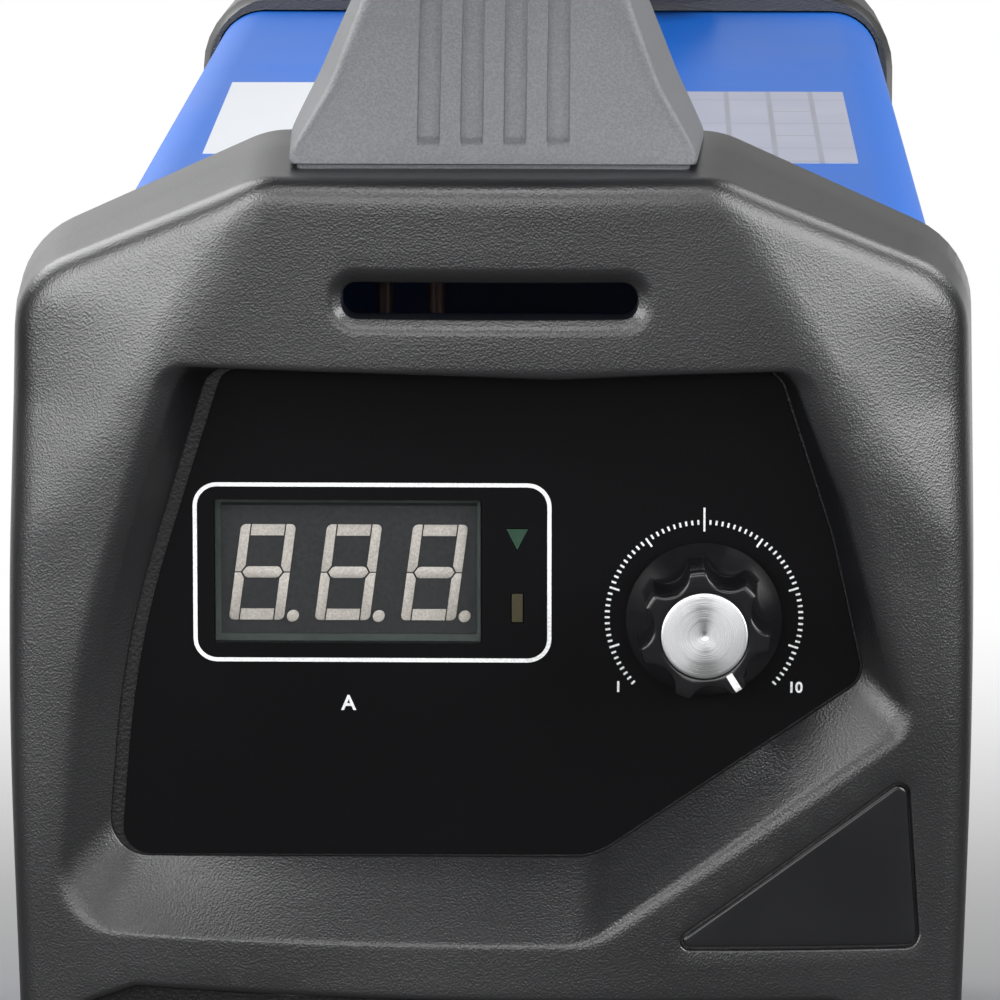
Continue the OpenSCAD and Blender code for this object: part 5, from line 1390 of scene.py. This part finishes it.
# ---------------------------------------------------------------------------
# Floor and light
# A pale studio floor, which shows painted darker in its reflections. The main lamp hangs up at the left, behind. A
# small one is in front, a long one stands low at the far front, a tall one stands at each side, and one is up at the
# right, behind.
def looked_at(add):
    """One for camera, mirrored and transmitted rays, nought for the rays that only carry light."""
    rays = add("ShaderNodeLightPath")
    seen = rays.outputs["Is Camera Ray"]
    for kind in ("Is Glossy Ray", "Is Transmission Ray"):
        seen = add("ShaderNodeMath", {0: seen, 1: rays.outputs[kind]}, operation="MAXIMUM")
    return seen, rays.outputs["Is Glossy Ray"]


floor_mesh = bpy.data.meshes.new("floor")
floor_mesh.from_pydata([(-9, -9, 0), (9, -9, 0), (9, 9, 0), (-9, 9, 0)], [], [(0, 1, 2, 3)])
floor = placed("floor", floor_mesh)
pale, add = blank("pale_floor")
where = add("ShaderNodeTexCoord").outputs["Object"]
behind = add("ShaderNodeVectorMath", {0: where, 1: (0.0, 3.6, 0.0)}, operation="DISTANCE")
fade = spread(add, behind, (3.45, 3.0), interpolation_type="SMOOTHSTEP")
direct, painted_reflection_switch = looked_at(add)
seen = add("ShaderNodeMath", {0: fade, 1: direct}, operation="MULTIPLY")
# Mirrored rays see the floor darker than the light on it gives: a painted dark reflection that keeps its glare out of
# the lower faces
tone = blend(add, painted_reflection_switch, (0.32, 0.32, 0.32, 1), (0.10, 0.10, 0.10, 1))
s = add("ShaderNodeBsdfPrincipled", {"Base Color": tone, "Roughness": 0.8, "Specular IOR Level": 0.2})
glow = add("ShaderNodeEmission", {"Color": (1, 1, 1, 1), "Strength": 1.0})
mix = add("ShaderNodeMixShader", {0: seen, 1: s, 2: glow})
add("ShaderNodeOutputMaterial", {"Surface": mix})
floor.data.materials.append(pale)


def lamp(name, place, aim, width, height, power):
    light = bpy.data.lights.new(name, "AREA")
    light.shape, light.size, light.size_y, light.energy = "RECTANGLE", width, height, power
    holder = placed(name, light)
    holder.location = place
    holder.rotation_euler = (Vector(aim) - Vector(place)).to_track_quat("-Z", "Y").to_euler()


lamp("lamp_above", (-0.8, 0.5, 0.95), (0, 0.1, 0.2), 1.0, 0.8, 11.2)
lamp("lamp_front", (0.0, -0.5, 0.60), (0, -0.15, 0.19), 0.4, 0.2, 1.1)
lamp("lamp_horizon", (-0.2, -2.2, 0.56), (0, -0.15, 0.18), 2.0, 0.5, 12.2)
lamp("lamp_left", (-1.04, -0.84, 0.62), (0, -0.15, 0.18), 0.7, 0.8, 12.6)
lamp("lamp_right", (1.10, -0.75, 0.66), (0, -0.15, 0.18), 0.85, 0.75, 15.2)
lamp("lamp_behind", (0.80, 0.45, 0.92), (0, -0.1, 0.2), 0.6, 0.5, 5.0)

world = bpy.data.worlds.new("studio")
bpy.context.scene.world = world
world.use_nodes = True
world.node_tree.nodes.clear()
add = nodes_of(world.node_tree)
# The studio's paper walls, white low down in front and behind, dim above, at the sides and to the right
direct, _ = looked_at(add)
way = add("ShaderNodeSeparateXYZ", {0: add("ShaderNodeTexCoord").outputs["Generated"]})
low = spread(add, way.outputs["Z"], (0.35, 0.75), (1.0, 0.0), interpolation_type="SMOOTHSTEP")
left = spread(add, way.outputs["X"], (-0.2, 0.2), (1.0, 0.3), interpolation_type="SMOOTHSTEP")
out = add("ShaderNodeMath", {0: way.outputs["X"]}, operation="ABSOLUTE")
middle = spread(add, out, (0.55, 0.85), (1.0, 0.1), interpolation_type="SMOOTHSTEP")
walls = add("ShaderNodeMath", {0: low, 1: left}, operation="MULTIPLY")
walls = add("ShaderNodeMath", {0: walls, 1: middle}, operation="MULTIPLY")
seen = spread(add, walls, to=(0.1, 1.0))
strength = add("ShaderNodeMix", {0: direct, 2: 0.2, 3: seen}, data_type="FLOAT")
back = add("ShaderNodeBackground", {"Color": (1, 1, 1, 1), "Strength": strength})
add("ShaderNodeOutputWorld", {"Surface": back})
bpy.context.scene.view_settings.view_transform = "Standard"
